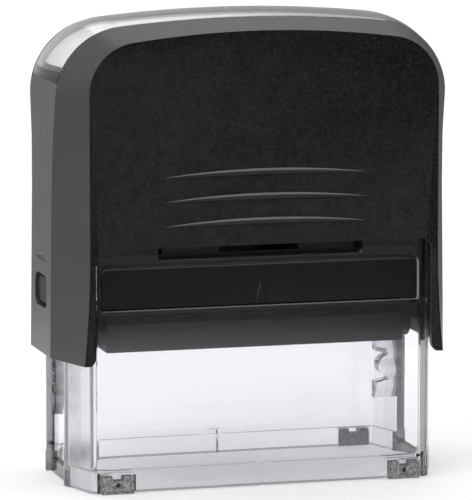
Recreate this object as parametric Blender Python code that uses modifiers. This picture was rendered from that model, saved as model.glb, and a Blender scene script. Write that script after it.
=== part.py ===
"""Self-inking stamp: a press-down cap over a clear frame, and a die that flips between ink pad and paper.

Frame: +Z up, +X to the right along the long side, -Y the front. The origin is on the table, under the middle
of the stamp. Every size is in metres, written as millimetres times MM. The cap is at the top of its stroke.
"""

import math

import bmesh
import bpy
from mathutils import Matrix, Vector

MM = 0.001
GAP = 0.3 * MM  # air kept between two pieces that touch

# What the stamp prints, and how far the cap travels to print it
PRINT_HALF_LENGTH = 29.2 * MM
PRINT_HALF_DEPTH = 10.8 * MM
STROKE = 25.2 * MM

# Die: the plate, its foam and its rubber, measured from the axle that it turns on
DIE_FACE = 5.2 * MM  # axle to the printing face
RELIEF = 0.8 * MM
RUBBER_SHEET = 1.0 * MM
FOAM = 0.8 * MM
RUBBER_MARGIN = 0.5 * MM
PLATE_MARGIN = 0.3 * MM
PLATE_UNDER = 3.6 * MM  # axle to the plate's lower edge
PLATE_SKIN = 1.4 * MM
PLATE_OVERHANG = 1.3 * MM  # plate past the rubber, front and back
HUB_RADIUS = 4.9 * MM
HUB_LENGTH = 4.1 * MM
PIN_RADIUS = 1.5 * MM
PIN_PLAY = 0.08 * MM

# Ink drawer
PAD_CLEARANCE = 0.2 * MM  # least air between the swinging die and the felt
FELT_MARGIN = 1.0 * MM
FELT_THICK = 5.4 * MM
TRAY_WALL = 1.2 * MM
TRAY_ROOF = 1.5 * MM
TRAY_RECESS = 0.7 * MM  # drawer front behind the frame's front
TRAY_DROP = 0.6 * MM  # drawer front below the felt
OPENING_PLAY = 0.35 * MM

# Clear frame
FRAME_WALL = 1.6 * MM
SWING_ROOM = 2.2 * MM  # air between the turning die and the frame
SLOT_HALF = 7.5 * MM  # half the opening in each side
SIDE_BAR = 1.3 * MM
SIDE_BAR_TOP = 3.0 * MM
TRACK_ROOM = 0.5 * MM
PLINTH_PROUD = 1.0 * MM
PLINTH_SIDE_PROUD = 0.2 * MM  # at the sides and corners, where the cap comes closest
PLINTH_LIP = 0.9 * MM
PLINTH_TOP = 4.2 * MM
PLINTH_SLOPE = 1.4 * MM
FRAME_UNDER = 0.3 * MM  # frame above the table, on its feet
RAIL = 1.0 * MM
POST_TOP_ABOVE = 5.1 * MM  # corner posts above the drawer's opening
LOW_RIM = 1.0 * MM
LOW_RIM_HALF = 20.6 * MM
CAM_HALF_HEIGHT = 6.2 * MM
CAM_ROOM = 0.5 * MM
CAM_BITE = 0.9 * MM  # how far the cam's nose reaches into the hub's notch
FOOT_LENGTH = 6.5 * MM
FOOT_HEIGHT = 3.6 * MM
FOOT_DEPTH = 2.5 * MM
FOOT_PROUD = 0.2 * MM
FOOT_INSET = 1.6 * MM  # from the corner of the plinth

# Bridge over the drawer, and the two springs that stand on it
BRIDGE = 1.8 * MM
BRIDGE_LIP = 2.2 * MM
SPRING_SHARE = 0.68  # of the plate's half length, from the middle to a spring
SPRING_RADIUS = 4.2 * MM
SPRING_WIRE = 0.45 * MM
SPRING_TURNS = 7
SPRING_PRESSED = 12.3 * MM
SPRING_POST_RADIUS = 2.9 * MM
SPRING_POST = 4.8 * MM

# Cap
CAP_WALL = 1.5 * MM
CAP_PLAY = 0.4 * MM
PANEL_WALL = 1.6 * MM
PANEL_ROOM = 1.8 * MM  # air between the frame's front and the cap's front panel
CAP_DRAFT = 0.7 * MM  # how much narrower the cap is at the shoulder than at the bottom
CAP_SIDE_LAND = 0.9 * MM  # flat side past the slot
CAP_OVER_TABLE = 0.4 * MM  # cap above the table when pressed
CAP_CORNER = 14.3 * MM
CROWN_RISE = 1.3 * MM
CAP_ROOF = 3.8 * MM
PANEL_INSET = 4.5 * MM
PANEL_CORNER = 9.9 * MM
PANEL_RISE = 1.7 * MM
PANEL_DROP = 1.8 * MM  # top of the panel under the crown
PANEL_FLARE = 1.2 * MM
PANEL_FLARE_TOP = 22.0 * MM  # above the bottom edge
LEG_FACE = 1.1 * MM
ARCH_ABOVE = 4.0 * MM  # arch above the drawer's opening
ARCH_CORNER = 2.0 * MM
LEG_ROUND = 2.5 * MM
RIB_HALF = 20.2 * MM
RIB_HIGH = 0.6 * MM
RIB_PROUD = 0.5 * MM
RIB_BOW = 0.7 * MM
RIB_PITCH = 4.75 * MM
RIB_TOP_BELOW = 29.6 * MM  # top rib under the crown
BASE_PLAY = 0.55 * MM  # frame's front corner to the cap's sloping inside

# Yoke inside the cap: it holds the axle and the springs
YOKE = 1.5 * MM
YOKE_BOTTOM_BELOW = 4.1 * MM  # below the axle

# Lock buttons
BUTTON_HALF_DEPTH = 4.9 * MM
BUTTON_HALF_HEIGHT = 3.2 * MM
BUTTON_ABOVE_AXLE = 7.4 * MM
BUTTON_SUNK = 0.5 * MM
BUTTON_THICK = 1.4 * MM
BUTTON_CORNER = 1.9 * MM
BUTTON_PLAY = 0.3 * MM
DIMPLE_HALF = 5.1 * MM
DIMPLE_HIGH = 1.1 * MM
DIMPLE_DEEP = 0.6 * MM
DIMPLE_ABOVE_BUTTON = 6.2 * MM

# Index window and its card
WINDOW_HALF_DEPTH = 10.4 * MM
WINDOW_THICK = 1.2 * MM
WINDOW_CROWN = 1.1 * MM
WINDOW_END_BELOW = 11.7 * MM  # ends of the window under the crown
CARD_THICK = 0.2 * MM
CARD_GAP = 0.25 * MM
CARD_SHORT = 2.3 * MM

# Heights that follow
AXLE = STROKE + DIE_FACE
RADIANS_PER_METRE = math.pi / STROKE
PLATE_TOP = DIE_FACE - RELIEF - RUBBER_SHEET - FOAM - 2 * GAP
RUBBER_HALF_DEPTH = PRINT_HALF_DEPTH + RUBBER_MARGIN
PLATE_HALF_DEPTH = RUBBER_HALF_DEPTH + PLATE_OVERHANG
PLATE_HALF_LENGTH = PRINT_HALF_LENGTH + RUBBER_MARGIN + PLATE_MARGIN
SPRING_X = SPRING_SHARE * PLATE_HALF_LENGTH


def corner_rise():
    """How far the edge of the print rises above its rest height while the cap goes down and the die turns."""
    rises = []
    for step in range(200):
        turn = step / 200 * math.pi / 2
        drop = turn / RADIANS_PER_METRE
        rises.append(PRINT_HALF_DEPTH * math.sin(turn) - DIE_FACE * (1 - math.cos(turn)) - drop)
    return max(rises)


PAD_FACE = AXLE + DIE_FACE + corner_rise() + PAD_CLEARANCE
TRAY_BOTTOM = PAD_FACE - TRAY_DROP
FELT_TOP = PAD_FACE + FELT_THICK
TRAY_TOP = FELT_TOP + GAP + TRAY_ROOF
OPENING_LOW = TRAY_BOTTOM - OPENING_PLAY
OPENING_HIGH = TRAY_TOP + OPENING_PLAY
BRIDGE_LOW = OPENING_HIGH + OPENING_PLAY
BRIDGE_TOP = BRIDGE_LOW + BRIDGE
POST_TOP = OPENING_HIGH + POST_TOP_ABOVE
SPRING_LOW = BRIDGE_TOP + SPRING_WIRE / 2
SPRING_TOP = SPRING_LOW + SPRING_PRESSED + STROKE
CROWN = SPRING_TOP + GAP + YOKE + GAP + CROWN_RISE + CAP_ROOF
CAP_BOTTOM = STROKE + CAP_OVER_TABLE
BUTTON_Z = AXLE + BUTTON_ABOVE_AXLE
CAM_Z = DIE_FACE + STROKE / 2

# Half depths that follow
SWING = math.hypot(PLATE_HALF_DEPTH, PLATE_UNDER)
FRAME_INNER_DEPTH = SWING + SWING_ROOM
FRAME_DEPTH = FRAME_INNER_DEPTH + FRAME_WALL
PANEL_DEPTH = FRAME_DEPTH + PANEL_ROOM + PANEL_WALL
CAP_FLAT = SLOT_HALF + CAP_SIDE_LAND
YOKE_HALF_DEPTH = SLOT_HALF - GAP

# Half widths that follow
FELT_HALF_LENGTH = PRINT_HALF_LENGTH + FELT_MARGIN
FELT_HALF_DEPTH = PLATE_HALF_DEPTH
TRAY_HALF = FELT_HALF_LENGTH + GAP + TRAY_WALL
OPENING_HALF = TRAY_HALF + OPENING_PLAY
HUB_IN = PLATE_HALF_LENGTH + GAP
HUB_OUT = HUB_IN + HUB_LENGTH
BAR_IN = HUB_OUT + TRACK_ROOM
BAR_OUT = BAR_IN + SIDE_BAR
YOKE_IN = BAR_OUT + CAP_PLAY
CAP_HALF = YOKE_IN + YOKE + CAP_PLAY + CAP_WALL
SHOULDER_HALF = CAP_HALF - CAP_DRAFT
PANEL_HALF = SHOULDER_HALF - PANEL_INSET
BEVEL_TILT = math.atan2(PANEL_INSET, PANEL_DEPTH - CAP_FLAT)
BEVEL_WALL = CAP_WALL / math.cos(BEVEL_TILT)
SIDE_HALF = SHOULDER_HALF - CAP_WALL - 0.7 * MM
ARCH_HALF = PANEL_HALF - LEG_FACE

FACETS = 24  # sides of a round piece
CORNER_STEPS = 9
CROWN_STEPS = 6


def clear_scene():
    for obj in list(bpy.data.objects):
        bpy.data.objects.remove(obj)


def new_collection(name):
    collection = bpy.data.collections.new(name)
    bpy.context.scene.collection.children.link(collection)
    return collection


def make_material(name, colour, roughness, metallic=0.0, transmission=0.0):
    material = bpy.data.materials.new(name)
    material.use_nodes = True
    shader = material.node_tree.nodes["Principled BSDF"]
    shader.inputs["Base Color"].default_value = (*colour, 1.0)
    shader.inputs["Roughness"].default_value = roughness
    shader.inputs["Metallic"].default_value = metallic
    shader.inputs["Transmission Weight"].default_value = transmission
    return material


clear_scene()
STAMP = new_collection("self_inking_stamp")
CUTTERS = new_collection("cutters")
BLACK = make_material("black_plastic", (0.022, 0.022, 0.023), 0.45)
SMOKE = make_material("inner_plastic", (0.03, 0.03, 0.032), 0.5)
CLEAR = make_material("clear_plastic", (0.93, 0.93, 0.96), 0.05, transmission=1.0)
GREY_RUBBER = make_material("grey_rubber", (0.13, 0.13, 0.135), 0.7)
FELT = make_material("inked_felt", (0.015, 0.015, 0.03), 0.95)
RUBBER = make_material("die_rubber", (0.02, 0.02, 0.02), 0.6)
FOAM_TAPE = make_material("foam_tape", (0.02, 0.02, 0.02), 0.9)
PAPER = make_material("paper", (0.86, 0.86, 0.86), 0.8)
STEEL = make_material("spring_steel", (0.62, 0.62, 0.62), 0.3, metallic=1.0)


def place(name, mesh, material=None):
    """An object for the mesh: a piece of the stamp if it has a material, and otherwise a cutter."""
    obj = bpy.data.objects.new(name, mesh)
    if material:
        mesh.materials.clear()
        mesh.materials.append(material)
        STAMP.objects.link(obj)
    else:
        CUTTERS.objects.link(obj)
        obj.hide_render = True
        obj.display_type = "WIRE"
    return obj


def from_bmesh(name, bm, material=None):
    mesh = bpy.data.meshes.new(name)
    bmesh.ops.recalc_face_normals(bm, faces=bm.faces)
    bm.to_mesh(mesh)
    bm.free()
    return place(name, mesh, material)


def box(name, low, high, material=None):
    low, high = Vector(low), Vector(high)
    bm = bmesh.new()
    bmesh.ops.create_cube(bm, size=1.0)
    bmesh.ops.scale(bm, vec=high - low, verts=bm.verts)
    bmesh.ops.translate(bm, vec=(low + high) / 2, verts=bm.verts)
    return from_bmesh(name, bm, material)


def cylinder(name, radius, start, end, material=None, facets=FACETS):
    start, end = Vector(start), Vector(end)
    turn = (end - start).to_track_quat("Z", "Y").to_matrix().to_4x4()
    bm = bmesh.new()
    bmesh.ops.create_cone(
        bm,
        cap_ends=True,
        segments=facets,
        radius1=radius,
        radius2=radius,
        depth=(end - start).length,
        matrix=Matrix.Translation((start + end) / 2) @ turn,
    )
    return from_bmesh(name, bm, material)


def ellipsoid(name, centre, radii, bow=0.0):
    """A stretched ball, bowed upwards in the middle of its X length."""
    bm = bmesh.new()
    bmesh.ops.create_uvsphere(bm, u_segments=10, v_segments=16, radius=1.0)
    bmesh.ops.rotate(bm, matrix=Matrix.Rotation(math.pi / 2, 3, "Y"), verts=bm.verts)
    for vert in bm.verts:
        lift = bow * (1 - vert.co.x**2)
        vert.co = Vector(centre) + Vector(a * b for a, b in zip(radii, vert.co)) + Vector((0, 0, lift))
    return from_bmesh(name, bm)


TURN_TO = {
    "Z": Matrix.Identity(3),
    "Y": Matrix(((1, 0, 0), (0, 0, -1), (0, 1, 0))),
    "X": Matrix(((0, 0, 1), (1, 0, 0), (0, 1, 0))),
}


def prism(name, outline, axis, low, high, material=None):
    """A flat outline pushed along an axis: (x, y) points for Z, (x, z) for Y, and (y, z) for X."""
    curve = bpy.data.curves.new(name, "CURVE")
    curve.dimensions = "2D"
    curve.fill_mode = "BOTH"
    curve.extrude = (high - low) / 2
    spline = curve.splines.new("POLY")
    spline.points.add(len(outline) - 1)
    for point, (u, v) in zip(spline.points, outline):
        point.co = (u, v, 0, 1)
    spline.use_cyclic_u = True
    guide = bpy.data.objects.new(name, curve)
    STAMP.objects.link(guide)
    graph = bpy.context.evaluated_depsgraph_get()
    mesh = bpy.data.meshes.new_from_object(guide.evaluated_get(graph))
    bpy.data.objects.remove(guide)
    middle = (low + high) / 2
    shift = {"X": (middle, 0, 0), "Y": (0, middle, 0), "Z": (0, 0, middle)}[axis]
    bm = bmesh.new()
    bm.from_mesh(mesh)
    bpy.data.meshes.remove(mesh)
    bmesh.ops.remove_doubles(bm, verts=bm.verts, dist=0.001 * MM)
    bmesh.ops.transform(bm, matrix=Matrix.Translation(shift) @ TURN_TO[axis].to_4x4(), verts=bm.verts)
    return from_bmesh(name, bm, material)


def loft(name, sections, material=None):
    """A solid through closed loops of points, with the first and last loops filled."""
    bm = bmesh.new()
    loops = [[bm.verts.new(point) for point in section] for section in sections]
    for here, there in zip(loops, loops[1:]):
        for i in range(len(here)):
            j = (i + 1) % len(here)
            bm.faces.new((here[i], here[j], there[j], there[i]))
    bm.faces.new(loops[0])
    bm.faces.new(loops[-1])
    return from_bmesh(name, bm, material)


def combine(piece, other, operation):
    modifier = piece.modifiers.new(other.name, "BOOLEAN")
    modifier.operation = operation
    modifier.object = other
    modifier.solver = "EXACT"


def cut(piece, *others):
    for other in others:
        combine(piece, other, "DIFFERENCE")


def join(piece, *others):
    for other in others:
        combine(piece, other, "UNION")


def soften(piece, width):
    """Rounded edges. It comes first, before the cuts."""
    modifier = piece.modifiers.new("rounded edges", "BEVEL")
    modifier.width = width
    modifier.segments = 2
    modifier.limit_method = "ANGLE"


def arc(centre, radius, start, end, steps):
    """Points on an arc from one angle to another, in degrees."""
    turns = [math.radians(start + (end - start) * i / steps) for i in range(steps + 1)]
    return [(centre[0] + radius * math.cos(t), centre[1] + radius * math.sin(t)) for t in turns]


def mirrored(points):
    """A right half, given from the bottom up, with its left half added."""
    return points + [(-x, z) for x, z in reversed(points) if abs(x) > 0.001 * MM]


def offset(points, distance, elsewhere=None):
    """A convex outline moved outwards by the distance, or by another one away from its front and back."""
    lines = []
    centre = sum((Vector(p) for p in points), Vector((0, 0))) / len(points)
    for a, b in zip(points, points[1:] + points[:1]):
        a, b = Vector(a), Vector(b)
        normal = Vector((b.y - a.y, a.x - b.x)).normalized()
        if normal.dot(a - centre) < 0:
            normal = -normal
        move = distance if elsewhere is None or abs(normal.y) > 0.999 else elsewhere
        lines.append((normal, normal.dot(a) + move))
    moved = []
    for (n1, d1), (n2, d2) in zip(lines[-1:] + lines[:-1], lines):
        across = n1.x * n2.y - n1.y * n2.x
        moved.append(((d1 * n2.y - d2 * n1.y) / across, (d2 * n1.x - d1 * n2.x) / across))
    return moved


CORNER_END = 84  # degrees at which the corner's arc meets the crown


def arch_half(low, foot_half, shoulder_half, corner, crown, rise, flare=0.0):
    """Right half of an arch: up a side, round the corner and along the shallow crown to the middle."""
    centre = (shoulder_half - corner, crown - rise - corner)
    turn = arc(centre, corner, 0, CORNER_END, CORNER_STEPS)
    flare_top = low + PANEL_FLARE_TOP
    side = [(foot_half + flare, low)]
    for share in (1 / 3, 2 / 3, 1):
        height = low + (flare_top - low) * share
        slant = (height - low) / (centre[1] - low)
        side.append((foot_half + (shoulder_half - foot_half) * slant + flare * (1 - share) ** 2, height))
    end_x, end_z = turn[-1]
    crowned = []
    for i in range(1, CROWN_STEPS + 1):
        x = end_x * (1 - i / CROWN_STEPS)
        crowned.append((x, crown - (crown - end_z) * (x / end_x) ** 2))
    return side + turn + crowned


def arch(y, *sizes, flare=0.0):
    """A whole arch as points on the plane at y."""
    return [(x, y, z) for x, z in mirrored(arch_half(*sizes, flare=flare))]


def clear_frame():
    """Plan of the clear frame: flat front and back, and sides that slope to fit the cap's sloping corners."""
    slope = (PANEL_HALF - SHOULDER_HALF) / (PANEL_DEPTH - CAP_FLAT)
    front_half = SHOULDER_HALF + slope * (FRAME_DEPTH - CAP_FLAT) - BEVEL_WALL - BASE_PLAY
    side_depth = CAP_FLAT - 0.2 * MM
    front = [(front_half, -FRAME_DEPTH), (SIDE_HALF, -side_depth)]
    right = front + [(x, -y) for x, y in reversed(front)]
    return right + [(-x, y) for x, y in reversed(right)]


def plinth_plan():
    return offset(clear_frame(), PLINTH_PROUD, PLINTH_SIDE_PROUD)


def at_height(outline, z):
    return [(x, y, z) for x, y in outline]


def make_frame():
    plan = clear_frame()
    front_half = plan[0][0]
    inner = offset(plan, -FRAME_WALL)
    frame = prism("base_frame", plan, "Z", FRAME_UNDER, POST_TOP, CLEAR)
    wide = plinth_plan()
    plinth = loft(
        "plinth",
        [
            at_height(wide, FRAME_UNDER),
            at_height(wide, PLINTH_TOP),
            at_height(offset(plan, -0.1 * MM), PLINTH_TOP + PLINTH_SLOPE),
        ],
    )
    join(frame, plinth)
    hollow = prism("hollow", inner, "Z", PLINTH_TOP, POST_TOP + 1 * MM)
    hole_ends = (FRAME_UNDER - 1 * MM, PLINTH_TOP + 1 * MM)
    print_hole = prism("print_hole", offset(inner, -PLINTH_LIP), "Z", *hole_ends)
    far = CAP_HALF
    slots = box("slots", (-far, -SLOT_HALF, -1 * MM), (far, SLOT_HALF, POST_TOP + 1 * MM))
    cut(frame, hollow, print_hole, slots)
    chamfer = 0.6 * MM
    doorway = [
        (OPENING_HALF, OPENING_LOW),
        (OPENING_HALF, OPENING_HIGH - chamfer),
        (OPENING_HALF - chamfer, OPENING_HIGH),
    ]
    past = 2 * MM
    for side, name in ((-1, "front"), (1, "rear")):
        low, high = sorted((side * (FRAME_INNER_DEPTH - 0.5 * MM), side * (FRAME_DEPTH + past)))
        cut(frame, prism(f"doorway_{name}", mirrored(doorway), "Y", low, high))
        cut(
            frame,
            box(
                f"low_rim_{name}",
                (-LOW_RIM_HALF, low, OPENING_HIGH + LOW_RIM),
                (LOW_RIM_HALF, high, POST_TOP + 1 * MM),
            ),
        )
        notch = 0.5 * MM
        edge = side * (FRAME_DEPTH + PLINTH_PROUD)
        outside = edge + side * MM
        mark = [(-notch, outside), (notch, outside), (notch, edge), (0, edge - side * notch), (-notch, edge)]
        cut(frame, prism(f"centre_mark_{name}", mark, "Z", -1 * MM, PLINTH_TOP + 2 * MM))
    for x_side, y_side in ((-1, -1), (1, -1), (-1, 1), (1, 1)):
        corner = f"{x_side}_{y_side}"
        rail_wide = sorted((x_side * (PLATE_HALF_LENGTH + 0.7 * MM), x_side * front_half))
        rail_deep = sorted((y_side * (SLOT_HALF + 0.5 * MM), y_side * (FRAME_INNER_DEPTH + 0.5 * MM)))
        rail_top = OPENING_LOW + 0.1 * MM
        rail_under = (rail_wide[0], rail_deep[0], rail_top - RAIL)
        rail = box(f"rail_{corner}", rail_under, (rail_wide[1], rail_deep[1], rail_top))
        join(frame, rail)
        cut(frame, foot_box(f"foot_seat_{corner}", x_side, y_side, GAP))
    for side, name in ((-1, "left"), (1, "right")):
        low, high = sorted((side * BAR_IN, side * BAR_OUT))
        bar_end = SLOT_HALF + 1 * MM
        bar = box(f"side_bar_{name}", (low, -bar_end, FRAME_UNDER), (high, bar_end, SIDE_BAR_TOP))
        cam_low, cam_high = sorted((side * (PLATE_HALF_LENGTH + 0.5 * MM), side * (BAR_OUT - 0.2 * MM)))
        join(frame, bar, prism(f"cam_{name}", cam_outline(), "X", cam_low, cam_high))
    return frame


def cam_outline():
    """The lug behind the axle's path, with a small nose that the hub's notch rolls over."""
    face = HUB_RADIUS + CAM_ROOM
    nose = HUB_RADIUS - CAM_BITE
    back = SLOT_HALF + 1.2 * MM
    top = CAM_Z + CAM_HALF_HEIGHT
    low = CAM_Z - CAM_HALF_HEIGHT
    lip = 1.0 * MM
    return [
        (back, low),
        (back, top),
        (face + 1.6 * MM, top),
        (face, top - 2.4 * MM),
        (face, CAM_Z + 2 * lip),
        (nose, CAM_Z + 0.6 * lip),
        (nose, CAM_Z - 0.6 * lip),
        (face, CAM_Z - 2 * lip),
        (face, low + 2.4 * MM),
        (face + 1.6 * MM, low),
    ]


def foot_box(name, x_side, y_side, grow=0.0, material=None):
    """The room that a foot takes at one corner of the plinth. A cutter for it grows on its closed sides."""
    corner_x = plinth_plan()[0][0]
    out_x = corner_x - FOOT_INSET
    face = FRAME_DEPTH + PLINTH_PROUD + FOOT_PROUD
    xs = sorted((x_side * (out_x + grow), x_side * (out_x - FOOT_LENGTH - grow)))
    ys = sorted((y_side * (face + 2 * grow), y_side * (face - FOOT_DEPTH - grow)))
    bottom = -1 * MM if grow else 0.0
    return box(name, (xs[0], ys[0], bottom), (xs[1], ys[1], FOOT_HEIGHT + grow), material)


def make_feet():
    for y_side, end in ((-1, "front"), (1, "rear")):
        for x_side, side in ((-1, "left"), (1, "right")):
            foot = foot_box(f"foot_{end}_{side}", x_side, y_side, material=GREY_RUBBER)
            middle = x_side * (plinth_plan()[0][0] - FOOT_INSET - FOOT_LENGTH / 2)
            face = y_side * (FRAME_DEPTH + PLINTH_PROUD)
            key = box(
                f"foot_key_{end}_{side}",
                (middle - 0.9 * MM, face - 1 * MM, FOOT_HEIGHT - 0.7 * MM),
                (middle + 0.9 * MM, face + 1 * MM, FOOT_HEIGHT + 1 * MM),
            )
            cut(foot, key)


def make_drawer():
    front = FRAME_DEPTH - TRAY_RECESS
    tray = box("pad_tray", (-TRAY_HALF, -front, TRAY_BOTTOM), (TRAY_HALF, front, TRAY_TOP), BLACK)
    soften(tray, 0.4 * MM)
    felt_room = box(
        "felt_room",
        (-FELT_HALF_LENGTH - GAP, -FELT_HALF_DEPTH - GAP, TRAY_BOTTOM - 1 * MM),
        (FELT_HALF_LENGTH + GAP, FELT_HALF_DEPTH + GAP, FELT_TOP + GAP),
    )
    sides_low = box(
        "lifted_ends",
        (-FELT_HALF_LENGTH - GAP, -front + 1.3 * MM, TRAY_BOTTOM - 1 * MM),
        (FELT_HALF_LENGTH + GAP, front - 1.3 * MM, PAD_FACE + GAP),
    )
    cut(tray, felt_room, sides_low)
    wall_out = FELT_HALF_DEPTH + GAP + TRAY_WALL
    for side, name in ((-1, "front"), (1, "rear")):
        low, high = sorted((side * wall_out, side * (front - 1.3 * MM)))
        if front - 1.3 * MM - wall_out > 0.2 * MM:
            gap = box(
                f"tray_gap_{name}",
                (-FELT_HALF_LENGTH, low, TRAY_BOTTOM - 1 * MM),
                (FELT_HALF_LENGTH, high, FELT_TOP),
            )
            cut(tray, gap)
    groove = 0.18 * MM
    apex, base, spread, deep = TRAY_TOP - 1.4 * MM, TRAY_BOTTOM + 0.9 * MM, 1.35 * MM, 0.3 * MM
    for side, name in ((-1, "left"), (1, "right")):
        foot_of_line = [(side * spread - groove, base), (side * spread + groove, base)]
        line = foot_of_line + [(groove, apex), (-groove, apex)]
        cut(tray, prism(f"arrow_{name}", line, "Y", -front - 1 * MM, -front + deep))
    felt = box(
        "felt_pad",
        (-FELT_HALF_LENGTH, -FELT_HALF_DEPTH, PAD_FACE),
        (FELT_HALF_LENGTH, FELT_HALF_DEPTH, FELT_TOP),
        FELT,
    )
    soften(felt, 0.5 * MM)


def make_bridge():
    """Deck over the drawer, held between the corner posts, with a post inside each spring."""
    inner = offset(clear_frame(), -FRAME_WALL - GAP)
    half = inner[0][0]
    depth = abs(inner[0][1])
    bridge = box("pad_bridge", (-half, -depth, BRIDGE_LOW), (half, depth, BRIDGE_TOP), SMOKE)
    step_in, step_out = 8.0 * MM, LOW_RIM_HALF - 1.2 * MM
    for y_side in (-1, 1):
        for x_side in (-1, 1):
            xs = sorted((x_side * step_in, x_side * step_out))
            ys = sorted((y_side * depth, y_side * (depth - 1.4 * MM)))
            lip_low = (xs[0], ys[0], BRIDGE_LOW + 0.5 * MM)
            lip_high = (xs[1], ys[1], BRIDGE_TOP + BRIDGE_LIP)
            join(bridge, box(f"lip_{x_side}_{y_side}", lip_low, lip_high))
    for x_side in (-1, 1):
        x = x_side * SPRING_X
        join(
            bridge,
            cylinder(
                f"bridge_post_{x_side}",
                SPRING_POST_RADIUS,
                (x, 0, BRIDGE_LOW + 0.5 * MM),
                (x, 0, BRIDGE_TOP + SPRING_POST),
                facets=16,
            ),
        )


def make_springs():
    steps = 14
    low = SPRING_LOW + GAP + SPRING_WIRE / 2
    high = SPRING_TOP - GAP - SPRING_WIRE / 2
    for side, name in ((-1, "left"), (1, "right")):
        curve = bpy.data.curves.new(f"spring_{name}", "CURVE")
        curve.dimensions = "3D"
        curve.bevel_depth = SPRING_WIRE
        curve.bevel_resolution = 2
        curve.use_fill_caps = True
        curve.materials.append(STEEL)
        spline = curve.splines.new("POLY")
        count = SPRING_TURNS * steps
        spline.points.add(count)
        for i, point in enumerate(spline.points):
            turn = 2 * math.pi * i / steps
            x = side * SPRING_X + SPRING_RADIUS * math.cos(turn)
            point.co = (x, SPRING_RADIUS * math.sin(turn), low + (high - low) * i / count, 1)
        STAMP.objects.link(bpy.data.objects.new(f"spring_{name}", curve))


def make_die():
    """The turning part: plate, two hubs with their pins, foam, and the rubber with its raised print."""
    top = AXLE + PLATE_TOP
    under = AXLE - PLATE_UNDER
    x, y = PLATE_HALF_LENGTH, PLATE_HALF_DEPTH
    plate = box("die_plate", (-x, -y, under), (x, y, top), SMOKE)
    inside = [x - PLATE_SKIN, y - PLATE_SKIN]
    hollow_low = (-inside[0], -inside[1], under - 1 * MM)
    cut(plate, box("plate_hollow", hollow_low, (*inside, top - PLATE_SKIN)))
    rib = 0.6 * MM
    for i in range(-2, 3):
        x = i * PLATE_HALF_LENGTH / 3
        join(
            plate,
            box(
                f"plate_rib_{i}",
                (x - rib, -inside[1] - 0.5 * MM, under + 0.8 * MM),
                (x + rib, inside[1] + 0.5 * MM, top - PLATE_SKIN / 2),
            ),
        )
    bite = HUB_RADIUS - CAM_BITE - 0.3 * MM
    notch_half = 2.3 * MM
    for side, name in ((-1, "left"), (1, "right")):
        hub = cylinder(
            f"flip_hub_{name}", HUB_RADIUS, (side * HUB_IN, 0, AXLE), (side * HUB_OUT, 0, AXLE), BLACK
        )
        ends = sorted((side * (HUB_IN - 1 * MM), side * (HUB_OUT + 1 * MM)))
        notch = box(
            f"hub_notch_{name}",
            (ends[0], -notch_half, AXLE - HUB_RADIUS - 1 * MM),
            (ends[1], notch_half, AXLE - bite),
        )
        cut(hub, notch)
        pin_end = YOKE_IN + YOKE - 0.2 * MM
        pin = cylinder(
            f"hub_pin_{name}", PIN_RADIUS, (side * (HUB_OUT - 1 * MM), 0, AXLE), (side * pin_end, 0, AXLE)
        )
        join(hub, pin)
    foam_low = top + GAP
    foam_half = PRINT_HALF_LENGTH + RUBBER_MARGIN / 2
    box(
        "foam_layer",
        (-foam_half, -RUBBER_HALF_DEPTH, foam_low),
        (foam_half, RUBBER_HALF_DEPTH, foam_low + FOAM),
        FOAM_TAPE,
    )
    sheet_low = foam_low + FOAM + GAP
    sheet_top = sheet_low + RUBBER_SHEET
    rubber = box(
        "rubber_die",
        (-PRINT_HALF_LENGTH - RUBBER_MARGIN, -RUBBER_HALF_DEPTH, sheet_low),
        (PRINT_HALF_LENGTH + RUBBER_MARGIN, RUBBER_HALF_DEPTH, sheet_top),
        RUBBER,
    )
    line = 0.8 * MM
    border = box(
        "print_border",
        (-PRINT_HALF_LENGTH, -PRINT_HALF_DEPTH, sheet_top - 0.3 * MM),
        (PRINT_HALF_LENGTH, PRINT_HALF_DEPTH, AXLE + DIE_FACE),
    )
    border_hole = box(
        "print_border_hole",
        (-PRINT_HALF_LENGTH + line, -PRINT_HALF_DEPTH + line, sheet_top),
        (PRINT_HALF_LENGTH - line, PRINT_HALF_DEPTH - line, AXLE + DIE_FACE + 1 * MM),
    )
    cut(border, border_hole)
    join(rubber, border)
    rows = 3
    for i in range(rows):
        y = PRINT_HALF_DEPTH * (i - 1) * 0.52
        reach = PRINT_HALF_LENGTH * (0.8, 0.62, 0.45)[i]
        join(
            rubber,
            box(f"row_{i}", (-reach, y - line, sheet_top - 0.3 * MM), (reach, y + line, AXLE + DIE_FACE)),
        )


def cap_sizes():
    """Sizes of the arch over the cap's flat middle, and of the arch at its front and back."""
    middle = (CAP_BOTTOM, CAP_HALF, SHOULDER_HALF, CAP_CORNER, CROWN, CROWN_RISE)
    panel = (CAP_BOTTOM, PANEL_HALF, PANEL_HALF, PANEL_CORNER, CROWN - PANEL_DROP, PANEL_RISE)
    return middle, panel


def cavity_sizes():
    """The same for the cap's hollow, which has a thicker roof, under the index window."""
    low = CAP_BOTTOM - 5 * MM
    share = (PANEL_DEPTH - PANEL_WALL - CAP_FLAT) / (PANEL_DEPTH - CAP_FLAT)
    end_half = SHOULDER_HALF - PANEL_INSET * share - BEVEL_WALL
    corner = CAP_CORNER - 0.3 * MM
    middle = (low, CAP_HALF - CAP_WALL, SHOULDER_HALF - CAP_WALL, corner, CROWN - CAP_ROOF, CROWN_RISE)
    end_crown = CROWN - CAP_ROOF - 0.2 * MM
    end = (low, end_half + CAP_DRAFT / 2, end_half, PANEL_CORNER - 0.4 * MM, end_crown, PANEL_RISE)
    return middle, end


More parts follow.
